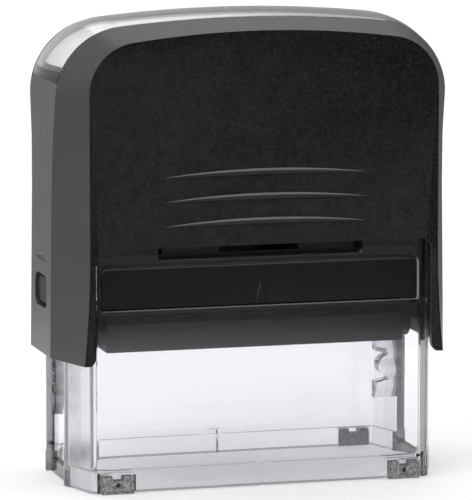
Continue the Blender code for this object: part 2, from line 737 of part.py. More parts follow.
def make_cap():
    middle, panel = cap_sizes()
    shell = loft(
        "cap_shell",
        [
            arch(-PANEL_DEPTH, *panel, flare=PANEL_FLARE),
            arch(-CAP_FLAT, *middle),
            arch(CAP_FLAT, *middle),
            arch(PANEL_DEPTH, *panel, flare=PANEL_FLARE),
        ],
        BLACK,
    )
    inside, end = cavity_sizes()
    inner_depth = PANEL_DEPTH - PANEL_WALL
    inner_flat = CAP_FLAT - 0.3 * MM
    cavity = loft(
        "cavity",
        [
            arch(-inner_depth, *end, flare=PANEL_FLARE),
            arch(-inner_flat, *inside),
            arch(inner_flat, *inside),
            arch(inner_depth, *end, flare=PANEL_FLARE),
        ],
    )
    cut(shell, cavity)
    half = [(ARCH_HALF + LEG_ROUND, CAP_BOTTOM - 5 * MM)]
    half += arc((ARCH_HALF + LEG_ROUND, CAP_BOTTOM + 0.8 * LEG_ROUND), LEG_ROUND, 270, 180, 5)
    half += arc((ARCH_HALF - ARCH_CORNER, OPENING_HIGH + ARCH_ABOVE - ARCH_CORNER), ARCH_CORNER, 0, 90, 4)
    for side, name in ((-1, "front"), (1, "rear")):
        low, high = sorted((side * (inner_depth - 0.4 * MM), side * (PANEL_DEPTH + 2 * MM)))
        cut(shell, prism(f"arch_{name}", mirrored(half), "Y", low, high))
    seat_half_depth = WINDOW_HALF_DEPTH + GAP
    cut(shell, window_arc("window_seat", seat_half_depth, -3 * MM, seat_depth(), WINDOW_END_BELOW + GAP))
    for side, name in ((-1, "left"), (1, "right")):
        low, high = sorted((side * (CAP_HALF - CAP_WALL - 2 * MM), side * (CAP_HALF + 2 * MM)))
        cut(shell, prism(f"button_hole_{name}", button_outline(0.0), "X", low, high))
        dimple = ellipsoid(
            f"dimple_{name}",
            (side * (CAP_HALF - 0.2 * MM), 0, BUTTON_Z + DIMPLE_ABOVE_BUTTON),
            (DIMPLE_DEEP, DIMPLE_HALF, DIMPLE_HIGH),
        )
        cut(shell, dimple)
    for y_side in (-1, 1):
        for row in range(3):
            height = CROWN - RIB_TOP_BELOW - row * RIB_PITCH
            middle = (0, y_side * PANEL_DEPTH, height)
            rib_size = (RIB_HALF, RIB_PROUD, RIB_HIGH)
            join(shell, ellipsoid(f"rib_{y_side}_{row}", middle, rib_size, bow=RIB_BOW))


def seat_depth():
    return WINDOW_THICK + CARD_THICK + 2 * CARD_GAP


def outline_offset(inset):
    """Right half of the cap's middle arch, moved inwards, from the shoulder to the middle."""
    middle, _ = cap_sizes()
    low, foot_half, shoulder_half, corner, crown, rise = middle
    return arch_half(low, foot_half - inset, shoulder_half - inset, corner - inset, crown - inset, rise)


def above(points, height):
    """The part of a right half above a height, starting exactly there."""
    for i, (a, b) in enumerate(zip(points, points[1:])):
        if b[1] > height:
            share = (height - a[1]) / (b[1] - a[1])
            return [(a[0] + (b[0] - a[0]) * share, height)] + points[i + 1 :]
    return points


def window_arc(name, half_depth, outer, inner, end_below, material=None):
    """A strip that follows the top of the cap between two insets, with both ends at the same height."""
    height = CROWN - end_below
    rising = mirrored(above(outline_offset(outer), height))
    falling = mirrored(above(outline_offset(inner), height))
    return prism(name, rising + falling[::-1], "Y", -half_depth, half_depth, material)


def make_window():
    """Clear cover over the card, crowned a little from front to back."""
    height = CROWN - WINDOW_END_BELOW
    sections = []
    for i in range(-3, 4):
        share = i / 3
        lift = WINDOW_CROWN * (1 - share**2)
        outer = mirrored(above(outline_offset(-lift), height))
        inner = mirrored(above(outline_offset(WINDOW_THICK - lift), height))
        sections.append([(x, share * WINDOW_HALF_DEPTH, z) for x, z in outer + inner[::-1]])
    loft("index_window", sections, CLEAR)
    card_out = WINDOW_THICK + CARD_GAP
    end_below = WINDOW_END_BELOW - CARD_SHORT
    window_arc("index_card", WINDOW_HALF_DEPTH - GAP, card_out, card_out + CARD_THICK, end_below, PAPER)


def button_outline(inset):
    """Rounded outline of a lock button on the side of the cap."""
    depth = BUTTON_HALF_DEPTH - inset
    height = BUTTON_HALF_HEIGHT - inset
    radius = BUTTON_CORNER
    half = arc((depth - radius, -height + radius), radius, -90, 0, 4)
    half += arc((depth - radius, height - radius), radius, 0, 90, 4)
    return [(y, BUTTON_Z + z) for y, z in mirrored(half)]


def make_buttons():
    slant = CAP_DRAFT * (BUTTON_Z - CAP_BOTTOM) / (CROWN - CROWN_RISE - CAP_CORNER - CAP_BOTTOM)
    face = CAP_HALF - slant - BUTTON_SUNK
    for side, name in ((-1, "left"), (1, "right")):
        low, high = sorted((side * (face - BUTTON_THICK), side * face))
        prism(f"lock_button_{name}", button_outline(BUTTON_PLAY), "X", low, high, BLACK)


def make_yoke():
    """Bow inside the cap. Its arms hold the die's pins, and its bar carries the springs' upper ends."""
    inside, _ = cavity_sizes()
    low = AXLE - YOKE_BOTTOM_BELOW
    _, _, shoulder_half, corner, crown, rise = inside
    outer_foot = YOKE_IN + YOKE
    shoulder_half -= GAP
    crown -= GAP
    outer = arch_half(low, outer_foot, shoulder_half, corner, crown, rise)
    inner = arch_half(low, outer_foot - YOKE, shoulder_half - YOKE, corner - YOKE, crown - YOKE, rise)
    outline = mirrored(outer) + mirrored(inner)[::-1]
    yoke = prism("yoke", outline, "Y", -YOKE_HALF_DEPTH, YOKE_HALF_DEPTH, SMOKE)
    reach = CAP_HALF + 2 * MM
    start = SPRING_X + SPRING_RADIUS + 2 * MM
    for side, name in ((-1, "left"), (1, "right")):
        low_x, high_x = sorted((side * start, side * reach))
        hole = prism(f"yoke_button_hole_{name}", button_outline(-0.3 * MM), "X", low_x, high_x)
        bearing = cylinder(
            f"bearing_{name}",
            PIN_RADIUS + PIN_PLAY,
            (side * start, 0, AXLE),
            (side * reach, 0, AXLE),
            facets=32,
        )
        cut(yoke, hole, bearing)
        x = side * SPRING_X
        post = cylinder(
            f"yoke_post_{name}",
            SPRING_POST_RADIUS,
            (x, 0, SPRING_TOP - SPRING_POST),
            (x, 0, SPRING_TOP + GAP + YOKE / 2 + 0.4 * MM),
            facets=16,
        )
        join(yoke, post)


make_frame()
make_feet()
make_drawer()
make_bridge()
make_springs()
make_die()
make_cap()
make_window()
make_buttons()
make_yoke()
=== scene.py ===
"""Looks of the self-inking stamp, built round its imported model.

The cap's grained panels and satin bands, the clear frame and window, the ink drawer and the printing parts
are made again here with fine edges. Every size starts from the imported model's own boxes.
"""

import math
from contextlib import contextmanager

import bmesh
import bpy
from mathutils import Matrix, Vector


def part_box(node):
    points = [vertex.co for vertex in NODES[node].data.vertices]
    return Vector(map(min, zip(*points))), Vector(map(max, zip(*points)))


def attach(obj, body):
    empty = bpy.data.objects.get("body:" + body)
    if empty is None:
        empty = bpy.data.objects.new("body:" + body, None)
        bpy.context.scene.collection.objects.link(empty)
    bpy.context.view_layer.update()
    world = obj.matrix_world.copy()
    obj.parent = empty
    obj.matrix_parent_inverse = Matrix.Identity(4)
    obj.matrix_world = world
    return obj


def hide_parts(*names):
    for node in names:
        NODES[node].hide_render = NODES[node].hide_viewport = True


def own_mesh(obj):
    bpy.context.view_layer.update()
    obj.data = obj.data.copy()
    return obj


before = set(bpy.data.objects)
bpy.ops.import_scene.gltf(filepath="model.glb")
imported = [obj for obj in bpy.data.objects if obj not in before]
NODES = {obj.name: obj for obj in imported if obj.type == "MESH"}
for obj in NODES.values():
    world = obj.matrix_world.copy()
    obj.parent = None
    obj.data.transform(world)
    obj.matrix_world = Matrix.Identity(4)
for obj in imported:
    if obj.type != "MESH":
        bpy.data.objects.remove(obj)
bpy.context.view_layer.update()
MM = 0.001


def low(node):
    return Vector(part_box(node)[0])


def high(node):
    return Vector(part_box(node)[1])


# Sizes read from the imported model
CAP_HALF = high("cap_shell").x
PANEL_DEPTH = high("cap_shell").y - 0.5 * MM
CAP_BOTTOM = low("cap_shell").z
CROWN = high("cap_shell").z + 0.35 * MM
PLATE_HALF = high("die_plate").x
FRAME_LOW = low("base_frame").z
FRAME_TOP = high("base_frame").z
TRAY_LOW = low("pad_tray")
TRAY_HIGH = high("pad_tray")
FRAME_DEPTH = TRAY_HIGH.y + 0.7 * MM
BUTTON_Z = (low("lock_button_left").z + high("lock_button_left").z) / 2
WINDOW_LOW = low("index_window")
WINDOW_HIGH = high("index_window")

# Cap
CAP_FLAT = 8.4 * MM  # half the depth of the flat sides
SHOULDER_HALF = CAP_HALF - 0.7 * MM
CAP_CORNER = 14.3 * MM
CROWN_RISE = 1.3 * MM
BAND_DROP = 4.5 * MM  # how much narrower a panel is than the middle, on each side
PANEL_HALF = SHOULDER_HALF - BAND_DROP
PANEL_CORNER = 9.9 * MM
PANEL_RISE = 1.7 * MM
PANEL_DROP = 1.8 * MM
PANEL_FLARE = 1.2 * MM
PANEL_FLARE_TOP = 22.0 * MM
CAP_WALL = 1.5 * MM
PANEL_WALL = 1.6 * MM
CAP_ROOF = 3.8 * MM
ARCH_HALF = PANEL_HALF - 1.1 * MM
ARCH_TOP = TRAY_HIGH.z + 4.35 * MM
ARCH_CORNER = 2.0 * MM
LEG_ROUND = 2.5 * MM
CORNER_END = 84  # degrees through which a shoulder turns before the crown
SIDE_STEPS = 8
CORNER_STEPS = 22
CROWN_STEPS = 14

# Ribs under the panel's middle
RIB_HALF = 20.2 * MM
RIB_HIGH = 0.62 * MM
RIB_PROUD = 0.48 * MM
RIB_BOW = 0.7 * MM
RIB_PITCH = 4.75 * MM
RIB_TOP = CROWN - 29.6 * MM
RIB_COUNT = 3
RIB_POINTS = 49

# Clear frame
PLAN_FRONT = 33.93 * MM  # half width of its flat front
PLAN_SIDE = 37.1 * MM
PLAN_SIDE_DEPTH = 8.2 * MM  # where the flat side meets the sloping corner
FRAME_WALL = 1.6 * MM
SLOT_HALF = 7.5 * MM
PLAN_RADII = [1.1 * MM, 0.5 * MM, 0.5 * MM, 1.1 * MM] * 2
PLINTH_PROUD = 1.0 * MM
RIM_TOP = FRAME_LOW + 3.9 * MM
LOW_RIM_HALF = 20.6 * MM
CAM_MIDDLE = (low("rubber_die").z + high("rubber_die").z) / 2 - 16.9 * MM
CAM_HIGH = CAM_MIDDLE + 6.2 * MM
CAM_LOW = CAM_MIDDLE - 6.2 * MM
DOOR_HALF = TRAY_HIGH.x + 0.35 * MM
DOOR_LOW = TRAY_LOW.z - 0.35 * MM
DOOR_HIGH = TRAY_HIGH.z + 0.35 * MM

# Return springs
SPRING_WIRE_RADIUS = 0.45 * MM


# ---- meshes ----


PLACES = {
    "Z": lambda u, v, w: (u, v, w),
    "Y": lambda u, v, w: (u, w, v),
    "X": lambda u, v, w: (w, u, v),
}


def new_object(name, mesh, material=None):
    obj = bpy.data.objects.new(name, mesh)
    bpy.context.scene.collection.objects.link(obj)
    if material:
        mesh.materials.clear()
        mesh.materials.append(material)
    return obj


def from_bmesh(name, bm, material=None):
    bmesh.ops.recalc_face_normals(bm, faces=bm.faces)
    mesh = bpy.data.meshes.new(name)
    bm.to_mesh(mesh)
    bm.free()
    return new_object(name, mesh, material)


def box(name, lowest, highest, material=None):
    lowest, highest = Vector(lowest), Vector(highest)
    bm = bmesh.new()
    bmesh.ops.create_cube(bm, size=1.0)
    bmesh.ops.scale(bm, vec=highest - lowest, verts=bm.verts)
    bmesh.ops.translate(bm, vec=(lowest + highest) / 2, verts=bm.verts)
    return from_bmesh(name, bm, material)


def cylinder(name, radius, start, end, facets):
    start, end = Vector(start), Vector(end)
    turn = (end - start).to_track_quat("Z", "Y").to_matrix().to_4x4()
    bm = bmesh.new()
    bmesh.ops.create_cone(
        bm,
        cap_ends=True,
        segments=facets,
        radius1=radius,
        radius2=radius,
        depth=(end - start).length,
        matrix=Matrix.Translation((start + end) / 2) @ turn,
    )
    return from_bmesh(name, bm)


def prism(name, outline, axis, lowest, highest, material=None):
    """A flat outline pushed along an axis: (x, y) points for Z, (x, z) for Y, and (y, z) for X."""
    place = PLACES[axis]
    return loft(name, [[place(u, v, w) for u, v in outline] for w in (lowest, highest)], material)


def loft(name, sections, material=None):
    """A solid through closed loops of points, with the first and last loops filled."""
    bm = bmesh.new()
    loops = [[bm.verts.new(point) for point in section] for section in sections]
    for here, there in zip(loops, loops[1:]):
        for i in range(len(here)):
            j = (i + 1) % len(here)
            bm.faces.new((here[i], here[j], there[j], there[i]))
    bm.faces.new(loops[0])
    bm.faces.new(loops[-1])
    return from_bmesh(name, bm, material)


def settle(obj):
    """The object's modifiers are worked out, and its mesh becomes the result."""
    graph = bpy.context.evaluated_depsgraph_get()
    mesh = bpy.data.meshes.new_from_object(obj.evaluated_get(graph))
    obj.modifiers.clear()
    obj.data = mesh
    return obj


def cut(obj, *cutters, operation="DIFFERENCE"):
    for cutter in cutters:
        modifier = obj.modifiers.new(cutter.name, "BOOLEAN")
        modifier.operation = operation
        modifier.object = cutter
        modifier.solver = "EXACT"
    settle(obj)
    for cutter in cutters:
        bpy.data.objects.remove(cutter)
    return obj


def join(obj, *others):
    return cut(obj, *others, operation="UNION")


@contextmanager
def edited(obj):
    """The object's mesh, open for changes."""
    bm = bmesh.new()
    bm.from_mesh(obj.data)
    yield bm
    bm.to_mesh(obj.data)
    bm.free()


def ease(obj, width, segments=3, angle=30, smooth=40):
    """Every sharp edge gets a small radius, and the faces between them stay flat in shading."""
    with edited(obj) as bm:
        bmesh.ops.remove_doubles(bm, verts=bm.verts, dist=0.002 * MM)
        flat = math.radians(0.4)
        bmesh.ops.dissolve_limit(bm, angle_limit=flat, verts=bm.verts, edges=bm.edges, delimit={"SEAM"})
    modifier = obj.modifiers.new("eased edges", "BEVEL")
    modifier.width = width
    modifier.segments = segments
    modifier.limit_method = "ANGLE"
    modifier.angle_limit = math.radians(angle)
    modifier.use_clamp_overlap = True
    modifier.harden_normals = False
    settle(obj)
    with edited(obj) as bm:
        bmesh.ops.remove_doubles(bm, verts=bm.verts, dist=0.001 * MM)
    obj.data.shade_smooth()
    obj.data.set_sharp_from_angle(angle=math.radians(smooth))
    weighted = obj.modifiers.new("flat faces", "WEIGHTED_NORMAL")
    weighted.keep_sharp = True
    return settle(obj)


def divide(obj, axis, places):
    """Split the faces where they cross some planes, so that none of them surrounds a hole."""
    normal = Vector([float(axis == name) for name in "XYZ"])
    with edited(obj) as bm:
        for place in places:
            everything = bm.verts[:] + bm.edges[:] + bm.faces[:]
            parts = bmesh.ops.bisect_plane(bm, geom=everything, plane_co=normal * place, plane_no=normal)
            for item in parts["geom_cut"]:
                if isinstance(item, bmesh.types.BMEdge):
                    item.seam = True


def refined(node, width, material):
    """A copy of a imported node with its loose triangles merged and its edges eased."""
    return ease(new_object(f"{node}_fine", NODES[node].data.copy(), material), width)


def arc(centre, radius, start, end, steps):
    turns = [math.radians(start + (end - start) * i / steps) for i in range(steps + 1)]
    return [(centre[0] + radius * math.cos(t), centre[1] + radius * math.sin(t)) for t in turns]


def mirrored(points):
    return points + [(-x, z) for x, z in reversed(points) if abs(x) > 0.001 * MM]


def rounded(points, radii, steps=6):
    """A closed outline with each corner turned at its own radius."""
    outline = []
    count = len(points)
    for i, radius in enumerate(radii):
        here = Vector(points[i])
        back = (Vector(points[i - 1]) - here).normalized()
        ahead = (Vector(points[(i + 1) % count]) - here).normalized()
        half = back.angle(ahead) / 2
        if radius <= 0 or half > math.radians(89):
            outline.append(tuple(here))
            continue
        middle = here + (back + ahead).normalized() * (radius / math.sin(half))
        start = here + back * (radius / math.tan(half)) - middle
        end = here + ahead * (radius / math.tan(half)) - middle
        for step in range(steps + 1):
            ray = start.lerp(end, step / steps)
            outline.append(tuple(middle + ray.normalized() * radius))
    return outline


def span(side, near, far):
    """Two distances from the middle, on one side of it, the lower coordinate first."""
    return sorted((side * near, side * far))


def rectangle(left, bottom, right, top):
    return [(left, bottom), (right, bottom), (right, top), (left, top)]


def pillow(name, outline, axis, back, front, radius, material):
    """A flat piece whose front edges are rounded over, as on a moulded button."""
    place = PLACES[axis]
    steps = 4
    centre = sum((Vector(p) for p in outline), Vector((0, 0))) / len(outline)
    sign = 1 if front > back else -1
    sections = [[place(u, v, back) for u, v in outline]]
    for step in range(steps + 1):
        turn = math.pi / 2 * step / steps
        inset = radius * (1 - math.cos(turn))
        depth = front - sign * radius * (1 - math.sin(turn))
        ring = []
        for point in outline:
            ray = Vector(point) - centre
            pull = [math.copysign(min(abs(reach), inset), reach) for reach in ray]
            ring.append(place(point[0] - pull[0], point[1] - pull[1], depth))
        sections.append(ring)
    return loft(name, sections, material)


# ---- nodes ----


def feed(socket, value):
    """A socket takes another node's output, or a number, a vector or a colour of its own."""
    if isinstance(value, bpy.types.NodeSocket):
        socket.id_data.links.new(value, socket)
    elif socket.type == "RGBA":
        socket.default_value = (*value, 1.0)
    else:
        socket.default_value = value


def add(tree, kind, settings=None, **inputs):
    """A new node, set up and fed. The name of an input has _ for a space."""
    node = tree.nodes.new(kind)
    for label, value in (settings or {}).items():
        setattr(node, label, value)
    for label, value in inputs.items():
        feed(node.inputs[label.replace("_", " ")], value)
    return node


def math_node(operation, *values, clamp=False):
    """A sum, in the tree that holds the first output among its values."""
    tree = next(value.id_data for value in values if isinstance(value, bpy.types.NodeSocket))
    node = add(tree, "ShaderNodeMath", {"operation": operation, "use_clamp": clamp})
    for socket, value in zip(node.inputs, values):
        feed(socket, value)
    return node.outputs[0]


def times(a, b, clamp=False):
    return math_node("MULTIPLY", a, b, clamp=clamp)


def plus(a, b):
    return math_node("ADD", a, b)


def node_tree(name, sizes):
    """A Geometry Nodes tree with these named sizes and a material, its inputs and its last node."""
    tree = bpy.data.node_groups.new(name, "GeometryNodeTree")
    tree.interface.new_socket("Geometry", in_out="OUTPUT", socket_type="NodeSocketGeometry")
    for label, value in sizes.items():
        kind = "NodeSocketInt" if isinstance(value, int) else "NodeSocketFloat"
        tree.interface.new_socket(label, in_out="INPUT", socket_type=kind).default_value = value
    tree.interface.new_socket("Material", in_out="INPUT", socket_type="NodeSocketMaterial")
    return tree, tree.nodes.new("NodeGroupInput").outputs, tree.nodes.new("NodeGroupOutput")


def finish_tree(tree, geometry, ins, last):
    """Instances become plain mesh, the material goes on, and the result leaves the tree."""
    real = add(tree, "GeometryNodeRealizeInstances", Geometry=geometry)
    painted = add(tree, "GeometryNodeSetMaterial", Geometry=real.outputs[0], Material=ins["Material"])
    tree.links.new(painted.outputs[0], last.inputs[0])
    return tree


def grow(name, tree, material, values):
    """A plain mesh grown by a tree whose inputs get these values by name."""
    obj = new_object(name, bpy.data.meshes.new(name))
    modifier = obj.modifiers.new(name, "NODES")
    modifier.node_group = tree
    values = {**values, "Material": material}
    for item in tree.interface.items_tree:
        if item.in_out == "INPUT" and item.name in values:
            modifier[item.identifier] = values[item.name]
    settle(obj)
    obj.data.shade_smooth()
    return obj


# ---- shader parts ----


def shader_group(name, inputs, outputs):
    group = bpy.data.node_groups.new(name, "ShaderNodeTree")
    for label, value in inputs.items():
        socket = group.interface.new_socket(label, in_out="INPUT", socket_type="NodeSocketFloat")
        socket.default_value = value
    for label in outputs:
        group.interface.new_socket(label, in_out="OUTPUT", socket_type="NodeSocketFloat")
    return group, group.nodes.new("NodeGroupInput").outputs, group.nodes.new("NodeGroupOutput").inputs


def object_point(tree):
    return add(tree, "ShaderNodeTexCoord").outputs["Object"]


def split(vector):
    """The X, Y and Z of a vector."""
    return add(vector.id_data, "ShaderNodeSeparateXYZ", Vector=vector).outputs[:]


def noise(tree, scale, detail, roughness, point=None):
    point = object_point(tree) if point is None else point
    node = add(tree, "ShaderNodeTexNoise", Vector=point, Scale=scale, Detail=detail, Roughness=roughness)
    return node.outputs["Fac"]


def remap(value, low_in, high_in, low_out=0.0, high_out=1.0):
    """A value between two limits turned into one between two others, and held there."""
    limits = {"From_Min": low_in, "From_Max": high_in, "To_Min": low_out, "To_Max": high_out}
    return add(value.id_data, "ShaderNodeMapRange", Value=value, **limits).outputs["Result"]


def spread(mask, least, most):
    """A mask turned into a value between two limits."""
    return remap(mask, 0.0, 1.0, least, most)


def blend(mask, first, second):
    """A colour between two, by a mask. Each is a colour or another node's output."""
    mix = add(mask.id_data, "ShaderNodeMix", {"data_type": "RGBA"}, Factor=mask, A=first, B=second)
    return mix.outputs["Result"]


def moulded_grain():
    """Fine pitted grain of a textured mould: a height, and a mask of its tops."""
    tree, ins, outs = shader_group("moulded_grain", {"Scale": 2600.0, "Depth": 1.0}, ("Height", "Tops"))
    point = object_point(tree)
    smooth = {"feature": "SMOOTH_F1"}
    pits = add(tree, "ShaderNodeTexVoronoi", smooth, Vector=point, Scale=ins["Scale"], Smoothness=0.6)
    coarse = noise(tree, times(ins["Scale"], 0.45), 4.0, 0.6, point)
    mixed = plus(times(pits.outputs["Distance"], 0.55), coarse)
    feed(outs["Height"], times(mixed, ins["Depth"]))
    feed(outs["Tops"], remap(mixed, 0.62, 1.05))
    return tree


def edge_wear():
    """Mask of the edges that hands rub: pointed places on the surface, broken up by noise."""
    tree, ins, outs = shader_group("edge_wear", {"Amount": 0.5, "Scale": 300.0}, ("Mask",))
    edge = remap(add(tree, "ShaderNodeNewGeometry").outputs["Pointiness"], 0.51, 0.58)
    broken = noise(tree, ins["Scale"], 5.0, 0.65)
    spots = times(edge, times(broken, 1.6), clamp=True)
    feed(outs["Mask"], times(spots, ins["Amount"], clamp=True))
    return tree


def dust():
    """Mask of fine dust that lies on faces that look up, thicker in patches."""
    tree, ins, outs = shader_group("dust", {"Amount": 0.3, "Scale": 90.0}, ("Mask",))
    facing = split(add(tree, "ShaderNodeNewGeometry").outputs["Normal"])[2]
    up = math_node("MULTIPLY_ADD", facing, 0.7, clamp=True)
    patches = math_node("POWER", noise(tree, ins["Scale"], 6.0, 0.7), 2.0)
    mask = times(plus(up, 0.15), patches)
    feed(outs["Mask"], times(mask, ins["Amount"], clamp=True))
    return tree


GRAIN = moulded_grain()
WEAR = edge_wear()
DUST = dust()


def place_group(tree, group, **values):
    return add(tree, "ShaderNodeGroup", {"node_tree": group}, **values).outputs


def new_material(name, **uniform):
    """A material whose Principled sockets hold these values, named with _ for a space."""
    material = bpy.data.materials.new(name)
    material.use_nodes = True
    tree = material.node_tree
    shader = tree.nodes["Principled BSDF"]
    for label, value in uniform.items():
        feed(shader.inputs[label.replace("_", " ")], value)
    return material, tree


def surface(material, colour, roughness, height, strength, distance):
    """Colour, roughness and bump reach the material's shader."""
    shader = material.node_tree.nodes["Principled BSDF"]
    feed(shader.inputs["Base Color"], colour)
    feed(shader.inputs["Roughness"], roughness)
    bump = add(material.node_tree, "ShaderNodeBump", Height=height, Strength=strength, Distance=distance)
    feed(shader.inputs["Normal"], bump.outputs["Normal"])
    return material


# ---- materials ----


def cap_plastic():
    """Black moulded plastic: grained on the two flat panels, satin on the bands and sides between them."""
    uniform = {"Specular_IOR_Level": 0.09, "IOR": 1.5, "Coat_Roughness": 0.34}
    material, tree = new_material("cap_plastic", **uniform)
    depth = math_node("ABSOLUTE", split(object_point(tree))[1])
    panel = remap(depth, PANEL_DEPTH - 0.22 * MM, PANEL_DEPTH - 0.02 * MM)
    grain = place_group(tree, GRAIN, Scale=2200.0, Depth=1.0)
    fine = place_group(tree, GRAIN, Scale=7000.0, Depth=0.35)
    worn = place_group(tree, WEAR, Amount=0.35, Scale=420.0)
    dusty = place_group(tree, DUST, Amount=0.10, Scale=160.0)
    panel_colour = blend(grain["Tops"], (0.0, 0.0, 0.0), (0.017, 0.017, 0.0174))
    band_colour = blend(fine["Tops"], (0.038, 0.038, 0.0384), (0.054, 0.054, 0.0545))
    base = blend(panel, band_colour, panel_colour)
    rubbed = blend(worn["Mask"], base, (0.055, 0.055, 0.057))
    dusted = blend(dusty["Mask"], rubbed, (0.20, 0.20, 0.195))
    feed(tree.nodes["Principled BSDF"].inputs["Coat Weight"], spread(panel, 0.55, 0.0))
    band_rough = spread(noise(tree, 140.0, 4.0, 0.6), 0.30, 0.40)
    panel_rough = spread(grain["Tops"], 0.60, 0.46)
    rough = add(tree, "ShaderNodeMix", Factor=panel, A=band_rough, B=panel_rough).outputs["Result"]
    height = plus(times(grain["Height"], panel), times(fine["Height"], 0.18))
    return surface(material, dusted, rough, height, 1.0, 0.16 * MM)


def smooth_black(name, base, roughness, painted_top_light=0.0):
    """Smooth black moulding, with faint flow marks and rubbed edges. The top-light amount paints a highlight:
    faces that look upwards get a lighter colour.
    """
    material, tree = new_material(name, Specular_IOR_Level=0.25, IOR=1.5)
    grain = place_group(tree, GRAIN, Scale=2400.0, Depth=0.4)
    worn = place_group(tree, WEAR, Amount=0.3, Scale=500.0)
    plain = blend(grain["Tops"], (base, base, base * 1.03), (base * 1.7, base * 1.7, base * 1.75))
    rubbed = blend(worn["Mask"], plain, (0.05, 0.05, 0.052))
    facing = split(add(tree, "ShaderNodeNewGeometry").outputs["Normal"])[2]
    # painted highlight: the colour lightens where the surface faces upwards
    painted_top_light_mask = math_node("MAXIMUM", times(facing, painted_top_light), 0.0)
    painted_top_light_mask = math_node("MINIMUM", painted_top_light_mask, 1.0)
    with_painted_top_light = blend(painted_top_light_mask, rubbed, (0.20, 0.20, 0.205))
    flow = spread(noise(tree, 110.0, 4.0, 0.6), roughness - 0.06, roughness + 0.08)
    return surface(material, with_painted_top_light, flow, grain["Height"], 0.25, 0.04 * MM)


def clear_plastic(name, tint, roughness, shade, corners=0.0, painted_dark_edge_top=0.0):
    """Clear moulded plastic that lets light through to what it covers, with a faint haze and fine scuffs.

    Where corners is 1, the sloping corners get a mould frosting and a greyer tint, which is painted shade for
    the dark cap seen in them. The faces in the side openings are darker there, a painted dark refraction.
    Below a given height, on a part above the frame, a dark band is painted in: a painted refraction of the
    black parts under its edge.
    """
    material, tree = new_material(name, Transmission_Weight=1.0, IOR=1.49, Specular_IOR_Level=0.5)
    x, y, z = split(object_point(tree))
    wide = math_node("GREATER_THAN", math_node("ABSOLUTE", x), PLAN_FRONT + 0.1 * MM)
    depth = math_node("ABSOLUTE", y)
    # mould frosting on the sloping corners; their greyer tint below is painted shade
    frosted_and_shaded = times(wide, math_node("GREATER_THAN", depth, PLAN_SIDE_DEPTH))
    # painted dark refraction: the faces in the side openings get a dark colour
    ends = times(wide, math_node("LESS_THAN", depth, SLOT_HALF + 0.12 * MM))
    painted_dark_ends = blend(times(ends, corners), tint, (0.16, 0.155, 0.16))
    # painted dark refraction: a dark band below the given height, on the window's lower edge
    with_painted_dark_edge = blend(math_node("LESS_THAN", z, painted_dark_edge_top), painted_dark_ends, (0.16, 0.16, 0.165))
    # painted shade: a greyer tint where the corners have their frosting
    colour = blend(times(frosted_and_shaded, corners), with_painted_dark_edge, (0.80, 0.775, 0.80))
    haze = spread(noise(tree, 60.0, 3.0, 0.5), roughness * 0.6, roughness * 1.4)
    worn = place_group(tree, WEAR, Amount=0.5, Scale=600.0)
    scuffed = plus(haze, times(worn["Mask"], 0.2))
    rough = plus(scuffed, times(frosted_and_shaded, 0.22 * corners))
    surface(material, colour, rough, noise(tree, 45.0, 2.0, 0.4), 0.025, 0.2 * MM)
    through = add(tree, "ShaderNodeBsdfTransparent", Color=shade)
    mix = add(tree, "ShaderNodeMixShader", Fac=add(tree, "ShaderNodeLightPath").outputs["Is Shadow Ray"])
    feed(mix.inputs[1], tree.nodes["Principled BSDF"].outputs["BSDF"])
    feed(mix.inputs[2], through.outputs["BSDF"])
    feed(tree.nodes["Material Output"].inputs["Surface"], mix.outputs["Shader"])
    return material


def painted_doorway_glint():
    """Matt, light grey plastic round the drawer's doorway: a painted glint where its eased edges catch the
    light.
    """
    material, tree = new_material("painted_doorway_glint", Specular_IOR_Level=0.4)
    patches = noise(tree, 500.0, 3.0, 0.6)
    # painted highlight: light grey patches stand in for the glint on the doorway's edges
    colour = blend(patches, (0.50, 0.50, 0.52), (0.72, 0.72, 0.74))
    return surface(material, colour, spread(patches, 0.4, 0.55), patches, 0.2, 0.03 * MM)


def foot_rubber():
    material, tree = new_material("foot_rubber", Specular_IOR_Level=0.35)
    grain = place_group(tree, GRAIN, Scale=3600.0, Depth=1.0)
    dusty = place_group(tree, DUST, Amount=0.25, Scale=400.0)
    mottled = blend(grain["Tops"], (0.13, 0.129, 0.130), (0.46, 0.455, 0.46))
    colour = blend(dusty["Mask"], mottled, (0.35, 0.35, 0.34))
    return surface(material, colour, spread(grain["Tops"], 0.75, 0.6), grain["Height"], 0.9, 0.12 * MM)


def card_paper():
    material, tree = new_material("card_paper", Specular_IOR_Level=0.25)
    drawn_out = add(tree, "ShaderNodeMapping", Vector=object_point(tree), Scale=(1.0, 3.5, 1.0))
    fibre = noise(tree, 1400.0, 5.0, 0.7, drawn_out.outputs["Vector"])
    colour = blend(fibre, (0.76, 0.76, 0.77), (0.90, 0.90, 0.90))
    return surface(material, colour, spread(fibre, 0.75, 0.9), fibre, 0.3, 0.03 * MM)


def inked_felt():
    """Wool felt soaked with black ink: short tangled fibres, wet in patches."""
    material, tree = new_material("inked_felt", Sheen_Weight=0.25, Specular_IOR_Level=0.4)
    fibre = noise(tree, 2200.0, 6.0, 0.75)
    wet = spread(noise(tree, 120.0, 3.0, 0.6), 0.45, 0.95)
    colour = blend(fibre, (0.004, 0.004, 0.008), (0.03, 0.03, 0.045))
    return surface(material, colour, wet, fibre, 0.9, 0.25 * MM)


def die_rubber():
    """Engraved black rubber with a trace of ink on its raised faces."""
    material, tree = new_material("die_rubber", Specular_IOR_Level=0.35)
    grain = place_group(tree, GRAIN, Scale=3000.0, Depth=0.6)
    ink = noise(tree, 260.0, 5.0, 0.65)
    plain = blend(grain["Tops"], (0.005, 0.005, 0.005), (0.014, 0.014, 0.014))
    colour = blend(ink, plain, (0.006, 0.006, 0.010))
    return surface(material, colour, spread(ink, 0.75, 0.5), grain["Height"], 0.5, 0.05 * MM)


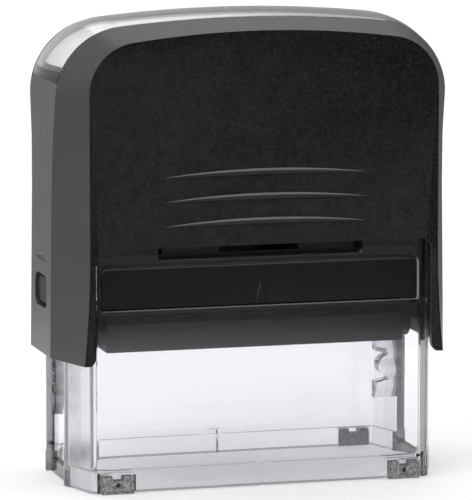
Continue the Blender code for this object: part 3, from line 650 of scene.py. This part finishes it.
def foam_tape():
    material, tree = new_material("foam_tape", Specular_IOR_Level=0.2)
    cells = add(tree, "ShaderNodeTexVoronoi", Scale=3500.0, Vector=object_point(tree)).outputs["Distance"]
    colour = blend(cells, (0.003, 0.003, 0.003), (0.012, 0.012, 0.012))
    return surface(material, colour, spread(cells, 0.8, 0.95), cells, 0.8, 0.08 * MM)


def spring_wire():
    """Drawn steel wire: fine marks on the wire, and darker patches of oil."""
    material, tree = new_material("spring_wire", Metallic=1.0)
    drawn = noise(tree, 3000.0, 2.0, 0.5)
    oil = noise(tree, 220.0, 4.0, 0.6)
    colour = blend(oil, (0.62, 0.61, 0.60), (0.42, 0.41, 0.40))
    return surface(material, colour, spread(drawn, 0.2, 0.36), drawn, 0.2, 0.02 * MM)


CAP_PLASTIC = cap_plastic()
# ribs and drawer: their upward faces get a painted highlight
RIB_PLASTIC = smooth_black("rib_plastic", 0.010, 0.30, painted_top_light=1.6)
DRAWER_PLASTIC = smooth_black("drawer_plastic", 0.0035, 0.30, painted_top_light=2.0)
INNER_PLASTIC = smooth_black("inner_plastic", 0.003, 0.42)
BUTTON_PLASTIC = smooth_black("button_plastic", 0.008, 0.42)
# corners get painted shade, side-opening faces a painted dark refraction
FRAME_PLASTIC = clear_plastic("frame_plastic", (0.892, 0.891, 0.922), 0.012, (0.76, 0.76, 0.79), corners=1.0)
# painted glint for the doorway's rim
PAINTED_DOORWAY_GLINT = painted_doorway_glint()
# its lower edge gets a dark band, a painted refraction of the black beneath
WINDOW_PLASTIC = clear_plastic(
    "window_plastic", (0.96, 0.96, 0.965), 0.03, (0.9, 0.9, 0.91), painted_dark_edge_top=WINDOW_LOW.z + 1.9 * MM
)
FOOT_RUBBER = foot_rubber()
CARD_PAPER = card_paper()
FELT = inked_felt()
DIE_RUBBER = die_rubber()
FOAM = foam_tape()
SPRING_WIRE = spring_wire()


# ---- the cap ----


def arch_half(bottom, foot_half, shoulder_half, corner, crown, rise, flare=0.0):
    """Right half of an arch: up a side, round the corner and along the shallow crown to the middle."""
    centre = (shoulder_half - corner, crown - rise - corner)
    turn = arc(centre, corner, 0, CORNER_END, CORNER_STEPS)
    flare_top = bottom + PANEL_FLARE_TOP
    side = []
    for i in range(SIDE_STEPS + 1):
        share = i / SIDE_STEPS
        height = bottom + (flare_top - bottom) * share
        slant = (height - bottom) / (centre[1] - bottom)
        side.append((foot_half + (shoulder_half - foot_half) * slant + flare * (1 - share) ** 2, height))
    for share in (0.35, 0.7):
        a, b = side[SIDE_STEPS], turn[0]
        side.append((a[0] + (b[0] - a[0]) * share, a[1] + (b[1] - a[1]) * share))
    end_x, end_z = turn[-1]
    crowned = []
    for i in range(1, CROWN_STEPS + 1):
        x = end_x * (1 - i / CROWN_STEPS)
        crowned.append((x, crown - (crown - end_z) * (x / end_x) ** 2))
    return side + turn + crowned


MIDDLE = (CAP_BOTTOM, CAP_HALF, SHOULDER_HALF, CAP_CORNER, CROWN, CROWN_RISE)
PANEL = (CAP_BOTTOM, PANEL_HALF, PANEL_HALF, PANEL_CORNER, CROWN - PANEL_DROP, PANEL_RISE)
WINDOW_EDGE = WINDOW_HIGH.y + 0.42 * MM


def band_edge(height):
    """Half depth of the flat middle at a height: it widens to take the window at the top."""
    share = min(1.0, max(0.0, (height - 62 * MM) / (WINDOW_LOW.z - 1 * MM - 62 * MM)))
    return CAP_FLAT + (WINDOW_EDGE - CAP_FLAT) * share * share * (3 - 2 * share)


def cap_cavity():
    """Hollow of the cap, a wall's thickness inside its panels, its slanting bands and its flat middle."""
    inner_depth = PANEL_DEPTH - PANEL_WALL
    share = (inner_depth - CAP_FLAT) / (PANEL_DEPTH - CAP_FLAT)
    band_wall = CAP_WALL / math.cos(math.atan2(BAND_DROP, PANEL_DEPTH - CAP_FLAT))
    end_half = SHOULDER_HALF - BAND_DROP * share - band_wall
    deep, roof = CAP_BOTTOM - 5 * MM, CROWN - CAP_ROOF
    inside = (deep, CAP_HALF - CAP_WALL, SHOULDER_HALF - CAP_WALL, CAP_CORNER - 0.3 * MM, roof, CROWN_RISE)
    end = (deep, end_half + 0.35 * MM, end_half, PANEL_CORNER - 0.4 * MM, roof - 0.2 * MM, PANEL_RISE)
    flat = CAP_FLAT - 0.3 * MM
    rows = (
        (-inner_depth, end, PANEL_FLARE),
        (-flat, inside, 0.0),
        (flat, inside, 0.0),
        (inner_depth, end, PANEL_FLARE),
    )
    sections = [[(x, y, z) for x, z in mirrored(arch_half(*size, flare=flare))] for y, size, flare in rows]
    return loft("cavity", sections)


def cap_shell():
    panel = mirrored(arch_half(*PANEL, flare=PANEL_FLARE))
    middle = mirrored(arch_half(*MIDDLE))
    sections = []
    for side in (-1, 1):
        outer = [(x, side * PANEL_DEPTH, z) for x, z in panel]
        inner = [(x, side * band_edge(z), z) for x, z in middle]
        sections += [outer, inner][::-side]
    shell = loft("cap_shell_fine", sections, CAP_PLASTIC)
    cutters = [cap_cavity()]
    outline = [(ARCH_HALF + LEG_ROUND, CAP_BOTTOM - 5 * MM)]
    outline += arc((ARCH_HALF + LEG_ROUND, CAP_BOTTOM + 0.8 * LEG_ROUND), LEG_ROUND, 270, 180, 12)
    outline += arc((ARCH_HALF - ARCH_CORNER, ARCH_TOP - ARCH_CORNER), ARCH_CORNER, 0, 90, 10)
    for side in (-1, 1):
        lowest, highest = span(side, PANEL_DEPTH - 1.9 * MM, PANEL_DEPTH + 2 * MM)
        cutters.append(prism("arch", mirrored(outline), "Y", lowest, highest))
    cutters.append(window_seat())
    for side in (-1, 1):
        lowest, highest = span(side, CAP_HALF - CAP_WALL - 2 * MM, CAP_HALF + 2 * MM)
        cutters.append(prism("button_hole", button_outline(0.0), "X", lowest, highest))
        cutters.append(thumb_dimple(side))
    cut(shell, *cutters)
    return ease(shell, 0.42 * MM, angle=15, smooth=45)


def inset_arch(inset, height):
    """The cap's middle arch moved inwards, from a height on one side to the same height on the other."""
    bottom, foot_half, shoulder_half, corner, crown, rise = MIDDLE
    first = next(i for i, (_, z) in enumerate(arch_half(*MIDDLE)) if z > height + 0.5 * MM)
    half = arch_half(bottom, foot_half - inset, shoulder_half - inset, corner - inset, crown - inset, rise)
    below = max((point for point in half if point[1] < height), key=lambda point: point[1])
    above = half[half.index(below) + 1]
    share = (height - below[1]) / (above[1] - below[1])
    return mirrored([(below[0] + (above[0] - below[0]) * share, height)] + half[first:])


def window_seat():
    bottom = WINDOW_LOW.z - 0.3 * MM
    outline = inset_arch(-3 * MM, bottom) + inset_arch(1.9 * MM, bottom)[::-1]
    edge = WINDOW_HIGH.y + 0.28 * MM
    return prism("window_seat", outline, "Y", -edge, edge)


def thumb_dimple(side):
    """Shallow crescent above a lock button."""
    bm = bmesh.new()
    bmesh.ops.create_uvsphere(bm, u_segments=24, v_segments=16, radius=1.0)
    centre = Vector((side * (CAP_HALF - 0.2 * MM), -0.6 * MM, BUTTON_Z + 6.2 * MM))
    for vert in bm.verts:
        lift = 0.5 * MM * (1 - vert.co.y**2)
        vert.co = centre + Vector((vert.co.x * 0.55 * MM, vert.co.y * 4.9 * MM, vert.co.z * 0.75 * MM + lift))
    return from_bmesh("thumb_dimple", bm)


def button_outline(inset):
    half_depth = 4.9 * MM - inset
    half_height = 3.2 * MM - inset
    points = rectangle(-half_depth, -half_height, half_depth, half_height)
    return [(y, BUTTON_Z + z) for y, z in rounded(points, [1.9 * MM] * 4)]


def lock_button(name):
    """Lock button with an eased rim."""
    node = f"lock_button_{name}"
    inner, outer = sorted((low(node).x, high(node).x), key=abs)
    button = pillow(f"{node}_fine", button_outline(0.5 * MM), "X", inner, outer, 0.45 * MM, BUTTON_PLASTIC)
    return ease(button, 0.08 * MM, segments=2)


def rib_tree():
    """Tapered ribs that bow upwards, one under another, on the front panel and again on the rear one."""
    sizes = {
        "Half Length": RIB_HALF,
        "Bow": RIB_BOW,
        "Pitch": RIB_PITCH,
        "Height": RIB_HIGH,
        "Proud": RIB_PROUD,
        "Top": RIB_TOP,
        "Depth": PANEL_DEPTH,
        "Count": RIB_COUNT,
    }
    tree, ins, last = node_tree("panel_ribs", sizes)

    def vector(x, y, z):
        return add(tree, "ShaderNodeCombineXYZ", X=x, Y=y, Z=z).outputs[0]

    half = ins["Half Length"]
    start, end = vector(times(half, -1.0), 0.0, 0.0), vector(half, 0.0, 0.0)
    line = add(tree, "GeometryNodeCurvePrimitiveLine", Start=start, End=end).outputs[0]
    points = add(tree, "GeometryNodeResampleCurve", Curve=line, Count=RIB_POINTS).outputs[0]
    along = add(tree, "GeometryNodeSplineParameter").outputs["Factor"]
    across = math_node("SUBTRACT", times(along, 2.0), 1.0)
    fall = math_node("SUBTRACT", 1.0, times(across, across))
    lift = vector(0.0, 0.0, times(fall, ins["Bow"]))
    bowed = add(tree, "GeometryNodeSetPosition", Geometry=points, Offset=lift).outputs[0]
    upright = add(tree, "GeometryNodeSetCurveNormal", {"mode": "Z_UP"}, Curve=bowed).outputs[0]
    circle = add(tree, "GeometryNodeCurvePrimitiveCircle", Resolution=16, Radius=1.0).outputs[0]
    section = vector(ins["Proud"], ins["Height"], 1.0)
    oval = add(tree, "GeometryNodeTransform", Geometry=circle, Scale=section).outputs[0]
    taper = math_node("MAXIMUM", math_node("POWER", fall, 0.8), 0.02)
    sweep = {"Curve": upright, "Profile_Curve": oval, "Scale": taper, "Fill_Caps": True}
    rib = add(tree, "GeometryNodeCurveToMesh", **sweep).outputs[0]
    top = vector(0.0, times(ins["Depth"], -1.0), ins["Top"])
    down = vector(0.0, 0.0, times(ins["Pitch"], -1.0))
    rows = add(tree, "GeometryNodeMeshLine", Count=ins["Count"], Start_Location=top, Offset=down).outputs[0]
    placed = add(tree, "GeometryNodeInstanceOnPoints", Points=rows, Instance=rib).outputs[0]
    turned = add(tree, "GeometryNodeTransform", Geometry=placed, Rotation=(0.0, 0.0, math.pi)).outputs[0]
    both = add(tree, "GeometryNodeJoinGeometry", Geometry=placed)
    tree.links.new(turned, both.inputs[0])
    return finish_tree(tree, both.outputs[0], ins, last)


def index_window():
    """Clear cover, crowned from front to back, with eased edges."""
    steps = 8
    crown_lift = WINDOW_HIGH.z - CROWN
    sections = []
    for i in range(-steps, steps + 1):
        share = i / steps
        lift = crown_lift * (1 - share * share)
        outer = inset_arch(-lift, WINDOW_LOW.z)
        inner = inset_arch(1.2 * MM - lift, WINDOW_LOW.z)
        sections.append([(x, share * (WINDOW_HIGH.y - 0.05 * MM), z) for x, z in outer + inner[::-1]])
    return ease(loft("index_window_fine", sections, WINDOW_PLASTIC), 0.22 * MM, angle=40, smooth=50)


def index_card():
    """Thin card under the window, bowed with it from front to back."""
    bottom = low("index_card").z
    steps = 8
    sections = []
    for i in range(-steps, steps + 1):
        share = i / steps
        lift = 0.95 * MM * (1 - share * share)
        outer, inner = inset_arch(1.45 * MM - lift, bottom), inset_arch(1.65 * MM - lift, bottom)
        sections.append([(x, share * high("index_card").y, z) for x, z in outer + inner[::-1]])
    card = loft("index_card_fine", sections, CARD_PAPER)
    card.data.shade_smooth()
    card.data.set_sharp_from_angle(angle=math.radians(40))
    return card


# ---- the clear frame and what stands on it ----


def frame_plan(grow=0.0, side_grow=None):
    """Plan of the clear frame, counter-clockwise, moved outwards, and by another amount at its sides."""
    side_grow = grow if side_grow is None else side_grow
    slope = Vector((PLAN_SIDE - PLAN_FRONT, PLAN_SIDE_DEPTH - FRAME_DEPTH))
    normal = Vector((-slope.y, slope.x)).normalized()
    reach = normal.dot(Vector((PLAN_FRONT, FRAME_DEPTH))) + side_grow
    depth, side = FRAME_DEPTH + grow, PLAN_SIDE + side_grow
    front = (reach - normal.y * depth) / normal.x
    side_depth = (reach - normal.x * side) / normal.y
    right = [(front, -depth), (side, -side_depth), (side, side_depth), (front, depth)]
    return right + [(-x, y) for x, y in reversed(right)]


def base_frame():
    """Clear frame: four walls on a plinth, open at both sides, with the drawer's doorway front and back."""
    plan = rounded(frame_plan(), PLAN_RADII)
    body = prism("base_frame_fine", plan, "Z", FRAME_LOW, FRAME_TOP, FRAME_PLASTIC)
    wide = rounded(frame_plan(PLINTH_PROUD, 0.18 * MM), [1.6 * MM, 0.4 * MM, 0.4 * MM, 1.6 * MM] * 2)
    slim = rounded(frame_plan(-0.1 * MM), PLAN_RADII)
    heights = ((wide, FRAME_LOW), (wide, RIM_TOP), (slim, RIM_TOP + 1.4 * MM))
    join(body, loft("plinth", [[(x, y, z) for x, y in outline] for outline, z in heights]))
    inner = rounded(frame_plan(-FRAME_WALL), [0.8 * MM] * 8)
    hole = rounded(frame_plan(-FRAME_WALL - 0.9 * MM), [0.8 * MM] * 8)
    cutters = [
        prism("hollow", inner, "Z", RIM_TOP, FRAME_TOP + MM),
        prism("print_hole", hole, "Z", FRAME_LOW - MM, RIM_TOP + MM),
        box("side_slots", (-CAP_HALF, -SLOT_HALF, -MM), (CAP_HALF, SLOT_HALF, FRAME_TOP + MM)),
    ]
    door = rectangle(-DOOR_HALF, DOOR_LOW, DOOR_HALF, DOOR_HIGH)
    doorway = rounded(door, [0.4 * MM, 0.4 * MM, 1.2 * MM, 1.2 * MM], steps=8)
    low_rim = rectangle(-LOW_RIM_HALF, DOOR_HIGH + MM, LOW_RIM_HALF, FRAME_TOP + MM)
    low_rim = rounded(low_rim, [0.8 * MM, 0.8 * MM, 0, 0])
    for side in (-1, 1):
        near, far = span(side, FRAME_DEPTH - FRAME_WALL - 0.6 * MM, FRAME_DEPTH + 2 * MM)
        cutters.append(prism("doorway", doorway, "Y", near, far))
        cutters.append(prism("low_rim", low_rim, "Y", near, far))
        edge = side * (FRAME_DEPTH + PLINTH_PROUD)
        notch = 0.5 * MM
        outside = edge + side * MM
        mark = [(-notch, outside), (notch, outside), (notch, edge), (0, edge - side * notch), (-notch, edge)]
        cutters.append(prism("centre_mark", mark, "Z", -MM, RIM_TOP + 2 * MM))
    cut(body, *cutters)
    for x_side in (-1, 1):
        for y_side in (-1, 1):
            across = span(x_side, PLATE_HALF + 0.7 * MM, PLAN_FRONT)
            deep = span(y_side, SLOT_HALF + 0.5 * MM, FRAME_DEPTH - FRAME_WALL + 0.5 * MM)
            rail_top = DOOR_LOW + 0.1 * MM
            join(body, box("rail", (across[0], deep[0], rail_top - MM), (across[1], deep[1], rail_top)))
            cut(body, foot_room(x_side, y_side))
    hub_end = high("flip_hub_right").x
    bar_in, bar_out = hub_end - 3.0 * MM, hub_end - 1.7 * MM
    for side in (-1, 1):
        near, far = span(side, bar_in, bar_out)
        bar = box("side_bar", (near, -SLOT_HALF - MM, FRAME_LOW), (far, SLOT_HALF + MM, 3.0 * MM))
        inner_end, outer_end = span(side, PLATE_HALF + 0.5 * MM, bar_out - 0.2 * MM)
        cam = prism("flip_cam", cam_outline(), "X", inner_end, outer_end)
        waist = prism("waist", cam_waists(side, inner_end, outer_end), "Y", 0.0, 10 * MM)
        cut(cam, waist, operation="INTERSECT")
        join(body, bar, cam)
    divide(body, "X", (-26 * MM, -6 * MM, 6 * MM, 26 * MM))
    divide(body, "Y", (-12 * MM, 0.3 * MM, 12 * MM))
    ease(body, 0.20 * MM, angle=28)
    # the doorway's eased rim gets a painted glint
    paint_doorway_glint(body)
    return body


def paint_doorway_glint(body):
    """The eased faces round the doorway, on the outside of its walls, get their own material: a painted
    glint.
    """
    body.data.materials.append(PAINTED_DOORWAY_GLINT)
    middle = (DOOR_LOW + DOOR_HIGH) / 2
    for face in body.data.polygons:
        across = abs(face.center.x) - DOOR_HALF
        painted_top_light_mask = abs(face.center.z - middle) - (DOOR_HIGH - middle)
        at_rim = abs(max(across, painted_top_light_mask)) < 0.24 * MM
        face.material_index = int(at_rim and abs(face.center.y) > FRAME_DEPTH - 0.9 * MM)


def cam_outline():
    """Profile of the cam that the hub's notch rolls over, with its nose and its rounded ends."""
    face, nose, back = 5.4 * MM, 4.0 * MM, 8.7 * MM
    points = [
        (back, CAM_LOW),
        (back, CAM_HIGH),
        (face + 1.6 * MM, CAM_HIGH),
        (face, CAM_HIGH - 2.4 * MM),
        (face, CAM_MIDDLE + 2.0 * MM),
        (nose, CAM_MIDDLE + 0.6 * MM),
        (nose, CAM_MIDDLE - 0.6 * MM),
        (face, CAM_MIDDLE - 2.0 * MM),
        (face, CAM_LOW + 2.4 * MM),
        (face + 1.6 * MM, CAM_LOW),
    ]
    radii = [0, 0, 0.5, 0.8, 0.3, 0.3, 0.3, 0.3, 0.8, 0.5]
    return rounded(points, [radius * MM for radius in radii], 4)


def cam_waists(side, inner_end, outer_end):
    """The same cam from the front: a block at the top, one at the bottom, and a round bulge between them."""
    tip, root = (inner_end, outer_end) if side > 0 else (outer_end, inner_end)
    waist = tip + side * 2.6 * MM
    points = [(root, CAM_LOW), (tip, CAM_LOW), (tip, CAM_LOW + 3.4 * MM), (waist, CAM_LOW + 4.0 * MM)]
    bulge = arc((waist, CAM_MIDDLE + 0.6 * MM), 2.2 * MM, -75, 75, 10)
    points += [(waist - side * (x - waist), z) for x, z in bulge]
    points += [(waist, CAM_HIGH - 3.0 * MM), (tip, CAM_HIGH - 2.5 * MM), (tip, CAM_HIGH), (root, CAM_HIGH)]
    return points


def foot_edges(x_side, y_side):
    """Lowest and highest corner of one foot."""
    node = f"foot_{'front' if y_side < 0 else 'rear'}_{'left' if x_side < 0 else 'right'}"
    return node, low(node), high(node)


def foot_room(x_side, y_side):
    _, lowest, highest = foot_edges(x_side, y_side)
    air = 0.25 * MM
    lowest, highest = lowest - Vector((air, air, MM)), highest + Vector((air, air, air))
    return box("foot_room", lowest, highest)


def foot(x_side, y_side):
    """Soft foot: rounded top corners and a small keyed notch."""
    node, lowest, highest = foot_edges(x_side, y_side)
    outline = rectangle(lowest.x, 0.0, highest.x, highest.z)
    outline = rounded(outline, [0.25 * MM, 0.25 * MM, 0.7 * MM, 0.7 * MM])
    back, front = (highest.y, lowest.y) if y_side < 0 else (lowest.y, highest.y)
    pad = pillow(f"{node}_fine", outline, "Y", back, front, 0.35 * MM, FOOT_RUBBER)
    middle = (lowest.x + highest.x) / 2
    face = front - y_side * 0.2 * MM
    half, deep = 1.1 * MM, 1.0 * MM
    key = rectangle(middle - half, highest.z - deep, middle + half, highest.z + MM)
    cut(pad, prism("key_notch", rounded(key, [0.3 * MM, 0.3 * MM, 0, 0]), "Y", lowest.y - MM, highest.y + MM))
    near, far = sorted((face - y_side * 0.8 * MM, face + y_side * MM))
    halfway = highest.z / 2
    cut(pad, cylinder("pin_mark", 0.45 * MM, (middle, near, halfway), (middle, far, halfway), facets=16))
    return ease(pad, 0.10 * MM, segments=2)


def pad_tray():
    """Ink drawer: eased front and rear faces, with an engraved arrowhead that shows which way it goes in."""
    outline = rectangle(-TRAY_HIGH.x, TRAY_LOW.z, TRAY_HIGH.x, TRAY_HIGH.z)
    outline = rounded(outline, [0.3 * MM, 0.3 * MM, 1.0 * MM, 1.0 * MM])
    tray = prism("pad_tray_fine", outline, "Y", TRAY_LOW.y, TRAY_HIGH.y, DRAWER_PLASTIC)
    air = Vector((0.3 * MM, 0.3 * MM, 0.3 * MM))
    room_low, room_high = low("felt_pad") - air, high("felt_pad") + air
    inside = TRAY_HIGH.y - 1.3 * MM
    ends_top = low("felt_pad").z + air.z
    cutters = [
        box("pocket", room_low - Vector((0, 0, 2 * MM)), room_high),
        box("lifted_ends", (room_low.x, -inside, TRAY_LOW.z - MM), (room_high.x, inside, ends_top)),
    ]
    apex, base, spread_half, groove = TRAY_LOW.z + 5.0 * MM, TRAY_LOW.z - 0.4 * MM, 1.3 * MM, 0.20 * MM
    for side in (-1, 1):
        foot_x = side * spread_half
        line = [(foot_x - groove, base), (foot_x + groove, base), (groove, apex), (-groove, apex)]
        cutters.append(prism("arrow", line, "Y", TRAY_LOW.y - MM, TRAY_LOW.y + 0.3 * MM))
    cut(tray, *cutters)
    return ease(tray, 0.22 * MM)


def felt_pad():
    """Felt block with soft edges and an uneven, slightly crowned face."""
    lowest, highest = low("felt_pad"), high("felt_pad")
    inset = Vector((0.2 * MM, 0.2 * MM, 0.0))
    felt = box("felt_pad_fine", lowest + inset, highest - inset, FELT)
    middle = (lowest + highest) / 2
    half = (highest - lowest) / 2
    with edited(felt) as bm:
        bmesh.ops.subdivide_edges(bm, edges=bm.edges, cuts=30, use_grid_fill=True)
        for vert in bm.verts:
            share = [(vert.co[i] - middle[i]) / half[i] for i in range(3)]
            rim = max(abs(share[0]) ** 24, abs(share[1]) ** 12)
            ripple = math.sin(vert.co.x * 2100) * math.sin(vert.co.y * 1900 + 1.0)
            vert.co.z -= share[2] * (0.35 * rim + 0.05 * (1 + ripple)) * MM
    felt.data.shade_smooth()
    felt.data.set_sharp_from_angle(angle=math.radians(60))
    return felt


def spring_tree():
    """Compression spring with closed ends: a helix whose first and last turns lie flat."""
    sizes = {
        "Side": 1.0,
        "Centre": 20.0 * MM,
        "Radius": 4.2 * MM,
        "Wire": SPRING_WIRE_RADIUS,
        "Bottom": 46.0 * MM,
        "Height": 37.0 * MM,
        "Turns": 8.0,
    }
    tree, ins, last = node_tree("return_spring", sizes)
    radius, wire, turns = ins["Radius"], ins["Wire"], ins["Turns"]
    helix = {"Rotations": turns, "Start_Radius": radius, "End_Radius": radius, "Height": 0.0}
    spiral = add(tree, "GeometryNodeCurveSpiral", Resolution=40, **helix).outputs[0]
    along = add(tree, "GeometryNodeSplineParameter").outputs["Factor"]
    closed = math_node("DIVIDE", 1.0, turns)
    open_part = remap(along, closed, math_node("SUBTRACT", 1.0, closed))
    tight = times(times(wire, 2.06), turns)
    stretch = times(math_node("SUBTRACT", ins["Height"], tight), open_part)
    height = plus(plus(times(tight, along), stretch), ins["Bottom"])
    place = add(tree, "ShaderNodeCombineXYZ", X=times(ins["Side"], ins["Centre"]), Z=height).outputs[0]
    lifted = add(tree, "GeometryNodeSetPosition", Geometry=spiral, Offset=place).outputs[0]
    circle = add(tree, "GeometryNodeCurvePrimitiveCircle", Resolution=14, Radius=wire).outputs[0]
    swept = add(tree, "GeometryNodeCurveToMesh", Curve=lifted, Profile_Curve=circle, Fill_Caps=True)
    return finish_tree(tree, swept.outputs[0], ins, last)


def return_spring(side, name, tree):
    node = f"spring_{name}"
    wire = SPRING_WIRE_RADIUS
    bottom, top = low(node).z + wire, high(node).z - wire
    centre = (abs(low(node).x) + abs(high(node).x)) / 2
    values = {"Side": float(side), "Centre": centre, "Wire": wire, "Bottom": bottom, "Height": top - bottom}
    return grow(f"{node}_fine", tree, SPRING_WIRE, values)


# ---- putting it together ----


def seat(piece, body, slot, *nodes):
    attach(piece, body)
    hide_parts(*nodes)


ribs = grow("panel_ribs", rib_tree(), RIB_PLASTIC, {})
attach(ribs, "cap")
seat(cap_shell(), "cap", "black_plastic", "cap_shell")
seat(refined("yoke", 0.25 * MM, INNER_PLASTIC), "cap", "inner_plastic", "yoke")
seat(index_card(), "cap", "paper", "index_card")
seat(index_window(), "window", "clear_plastic", "index_window")
for name in ("left", "right"):
    seat(lock_button(name), f"{name}_button", "black_plastic", f"lock_button_{name}")

seat(base_frame(), "base", "clear_plastic", "base_frame")
for x_side in (-1, 1):
    for y_side in (-1, 1):
        node = foot_edges(x_side, y_side)[0]
        seat(foot(x_side, y_side), "base", "grey_rubber", node)
seat(refined("pad_bridge", 0.25 * MM, INNER_PLASTIC), "base", "inner_plastic", "pad_bridge")
coil = spring_tree()
for side, name in ((-1, "left"), (1, "right")):
    spring = return_spring(side, name, coil)
    seat(spring, "base", "spring_steel", f"spring_{name}")
    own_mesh(spring)

seat(pad_tray(), "drawer", "black_plastic", "pad_tray")
seat(felt_pad(), "drawer", "inked_felt", "felt_pad")

seat(refined("die_plate", 0.25 * MM, INNER_PLASTIC), "die", "inner_plastic", "die_plate")
for name in ("left", "right"):
    seat(refined(f"flip_hub_{name}", 0.15 * MM, INNER_PLASTIC), "die", "inner_plastic", f"flip_hub_{name}")
seat(refined("foam_layer", 0.15 * MM, FOAM), "die", "foam_tape", "foam_layer")
seat(refined("rubber_die", 0.12 * MM, DIE_RUBBER), "die", "die_rubber", "rubber_die")


# ---- floor, light and camera ----


def floor():
    bm = bmesh.new()
    bmesh.ops.create_circle(bm, cap_ends=True, segments=96, radius=0.2)
    paper = new_material(
        "floor_paper",
        Base_Color=(0.8, 0.8, 0.8),
        Roughness=0.9,
        Specular_IOR_Level=0.1,
        Emission_Color=(1.0, 1.0, 1.0),
        Emission_Strength=0.31,
    )[0]
    ground = from_bmesh("floor", bm, paper)
    ground.location.z = -0.02 * MM


def soft_light(name, place, size, watts):
    """A square lamp that points at the middle of the stamp."""
    light = bpy.data.lights.new(name, "AREA")
    light.shape = "RECTANGLE"
    light.size = size
    light.size_y = size
    light.energy = watts
    lamp = bpy.data.objects.new(name, light)
    bpy.context.scene.collection.objects.link(lamp)
    lamp.location = place
    aim = Vector((0.0, 0.0, 0.045))
    lamp.rotation_euler = (aim - Vector(place)).to_track_quat("-Z", "Y").to_euler()


def lobe(tree, view, direction, sharpness):
    """A soft spot in the world round one direction."""
    dot = add(tree, "ShaderNodeVectorMath", {"operation": "DOT_PRODUCT"})
    feed(dot.inputs[0], view)
    feed(dot.inputs[1], Vector(direction).normalized())
    return math_node("POWER", math_node("MAXIMUM", dot.outputs["Value"], 0.0), sharpness)


def studio():
    """Four soft lamps in a world that looks white, and is darker to the rays that light the stamp."""
    world = bpy.data.worlds.new("studio")
    bpy.context.scene.world = world
    world.use_nodes = True
    tree = world.node_tree
    sky = tree.nodes["Background"].inputs
    feed(sky["Color"], (1.0, 1.0, 1.0))
    path = add(tree, "ShaderNodeLightPath").outputs
    view = add(tree, "ShaderNodeTexCoord").outputs["Generated"]
    upright = math_node("ABSOLUTE", split(view)[2])
    through = times(path["Is Transmission Ray"], remap(upright, 0.25, 0.6, 1.05, 0.25))
    bounced = plus(path["Glossy Depth"], path["Diffuse Depth"])
    direct = math_node("LESS_THAN", bounced, 0.5)
    through = times(through, spread(direct, 0.35, 1.0))
    left = times(lobe(tree, view, (-0.78, 0.46, 0.42), 3.0), 0.75)
    ambient = plus(spread(path["Is Glossy Ray"], 0.30, 0.10), left)
    behind = times(lobe(tree, view, (0.1, 0.98, -0.1), 10.0), times(path["Is Glossy Ray"], 0.42))
    around = math_node("MAXIMUM", through, plus(ambient, behind))
    seen = times(path["Is Camera Ray"], 1.05)
    feed(sky["Strength"], math_node("MAXIMUM", around, seen))
    soft_light("key_left", (-0.60, -0.35, 0.60), 0.5, 2.3)
    soft_light("top", (0.0, 0.05, 0.8), 0.6, 2.2)
    soft_light("band", (0.24, 0.52, 0.68), 0.8, 1.1)
    soft_light("fill_right", (0.7, -0.25, 0.35), 0.4, 1.3)


def camera():
    """Long lens from the front left, a little above the middle of the stamp."""
    azimuth, elevation = math.radians(15.739), math.radians(8.134)
    distance = 808.91 * MM
    target = Vector((-0.326 * MM, 0.0, 44.054 * MM))
    level = math.cos(elevation)
    back = Vector((-math.sin(azimuth) * level, -math.cos(azimuth) * level, math.sin(elevation)))
    lens = bpy.data.cameras.new("camera")
    lens.lens = 295.26
    lens.sensor_width = 36.0
    lens.clip_start = 0.01
    lens.clip_end = 10.0
    eye = bpy.data.objects.new("camera", lens)
    bpy.context.scene.collection.objects.link(eye)
    eye.location = target + back * distance
    eye.rotation_euler = back.to_track_quat("Z", "Y").to_euler()
    bpy.context.scene.camera = eye


floor()
studio()
camera()
bpy.context.scene.view_settings.view_transform = "Standard"
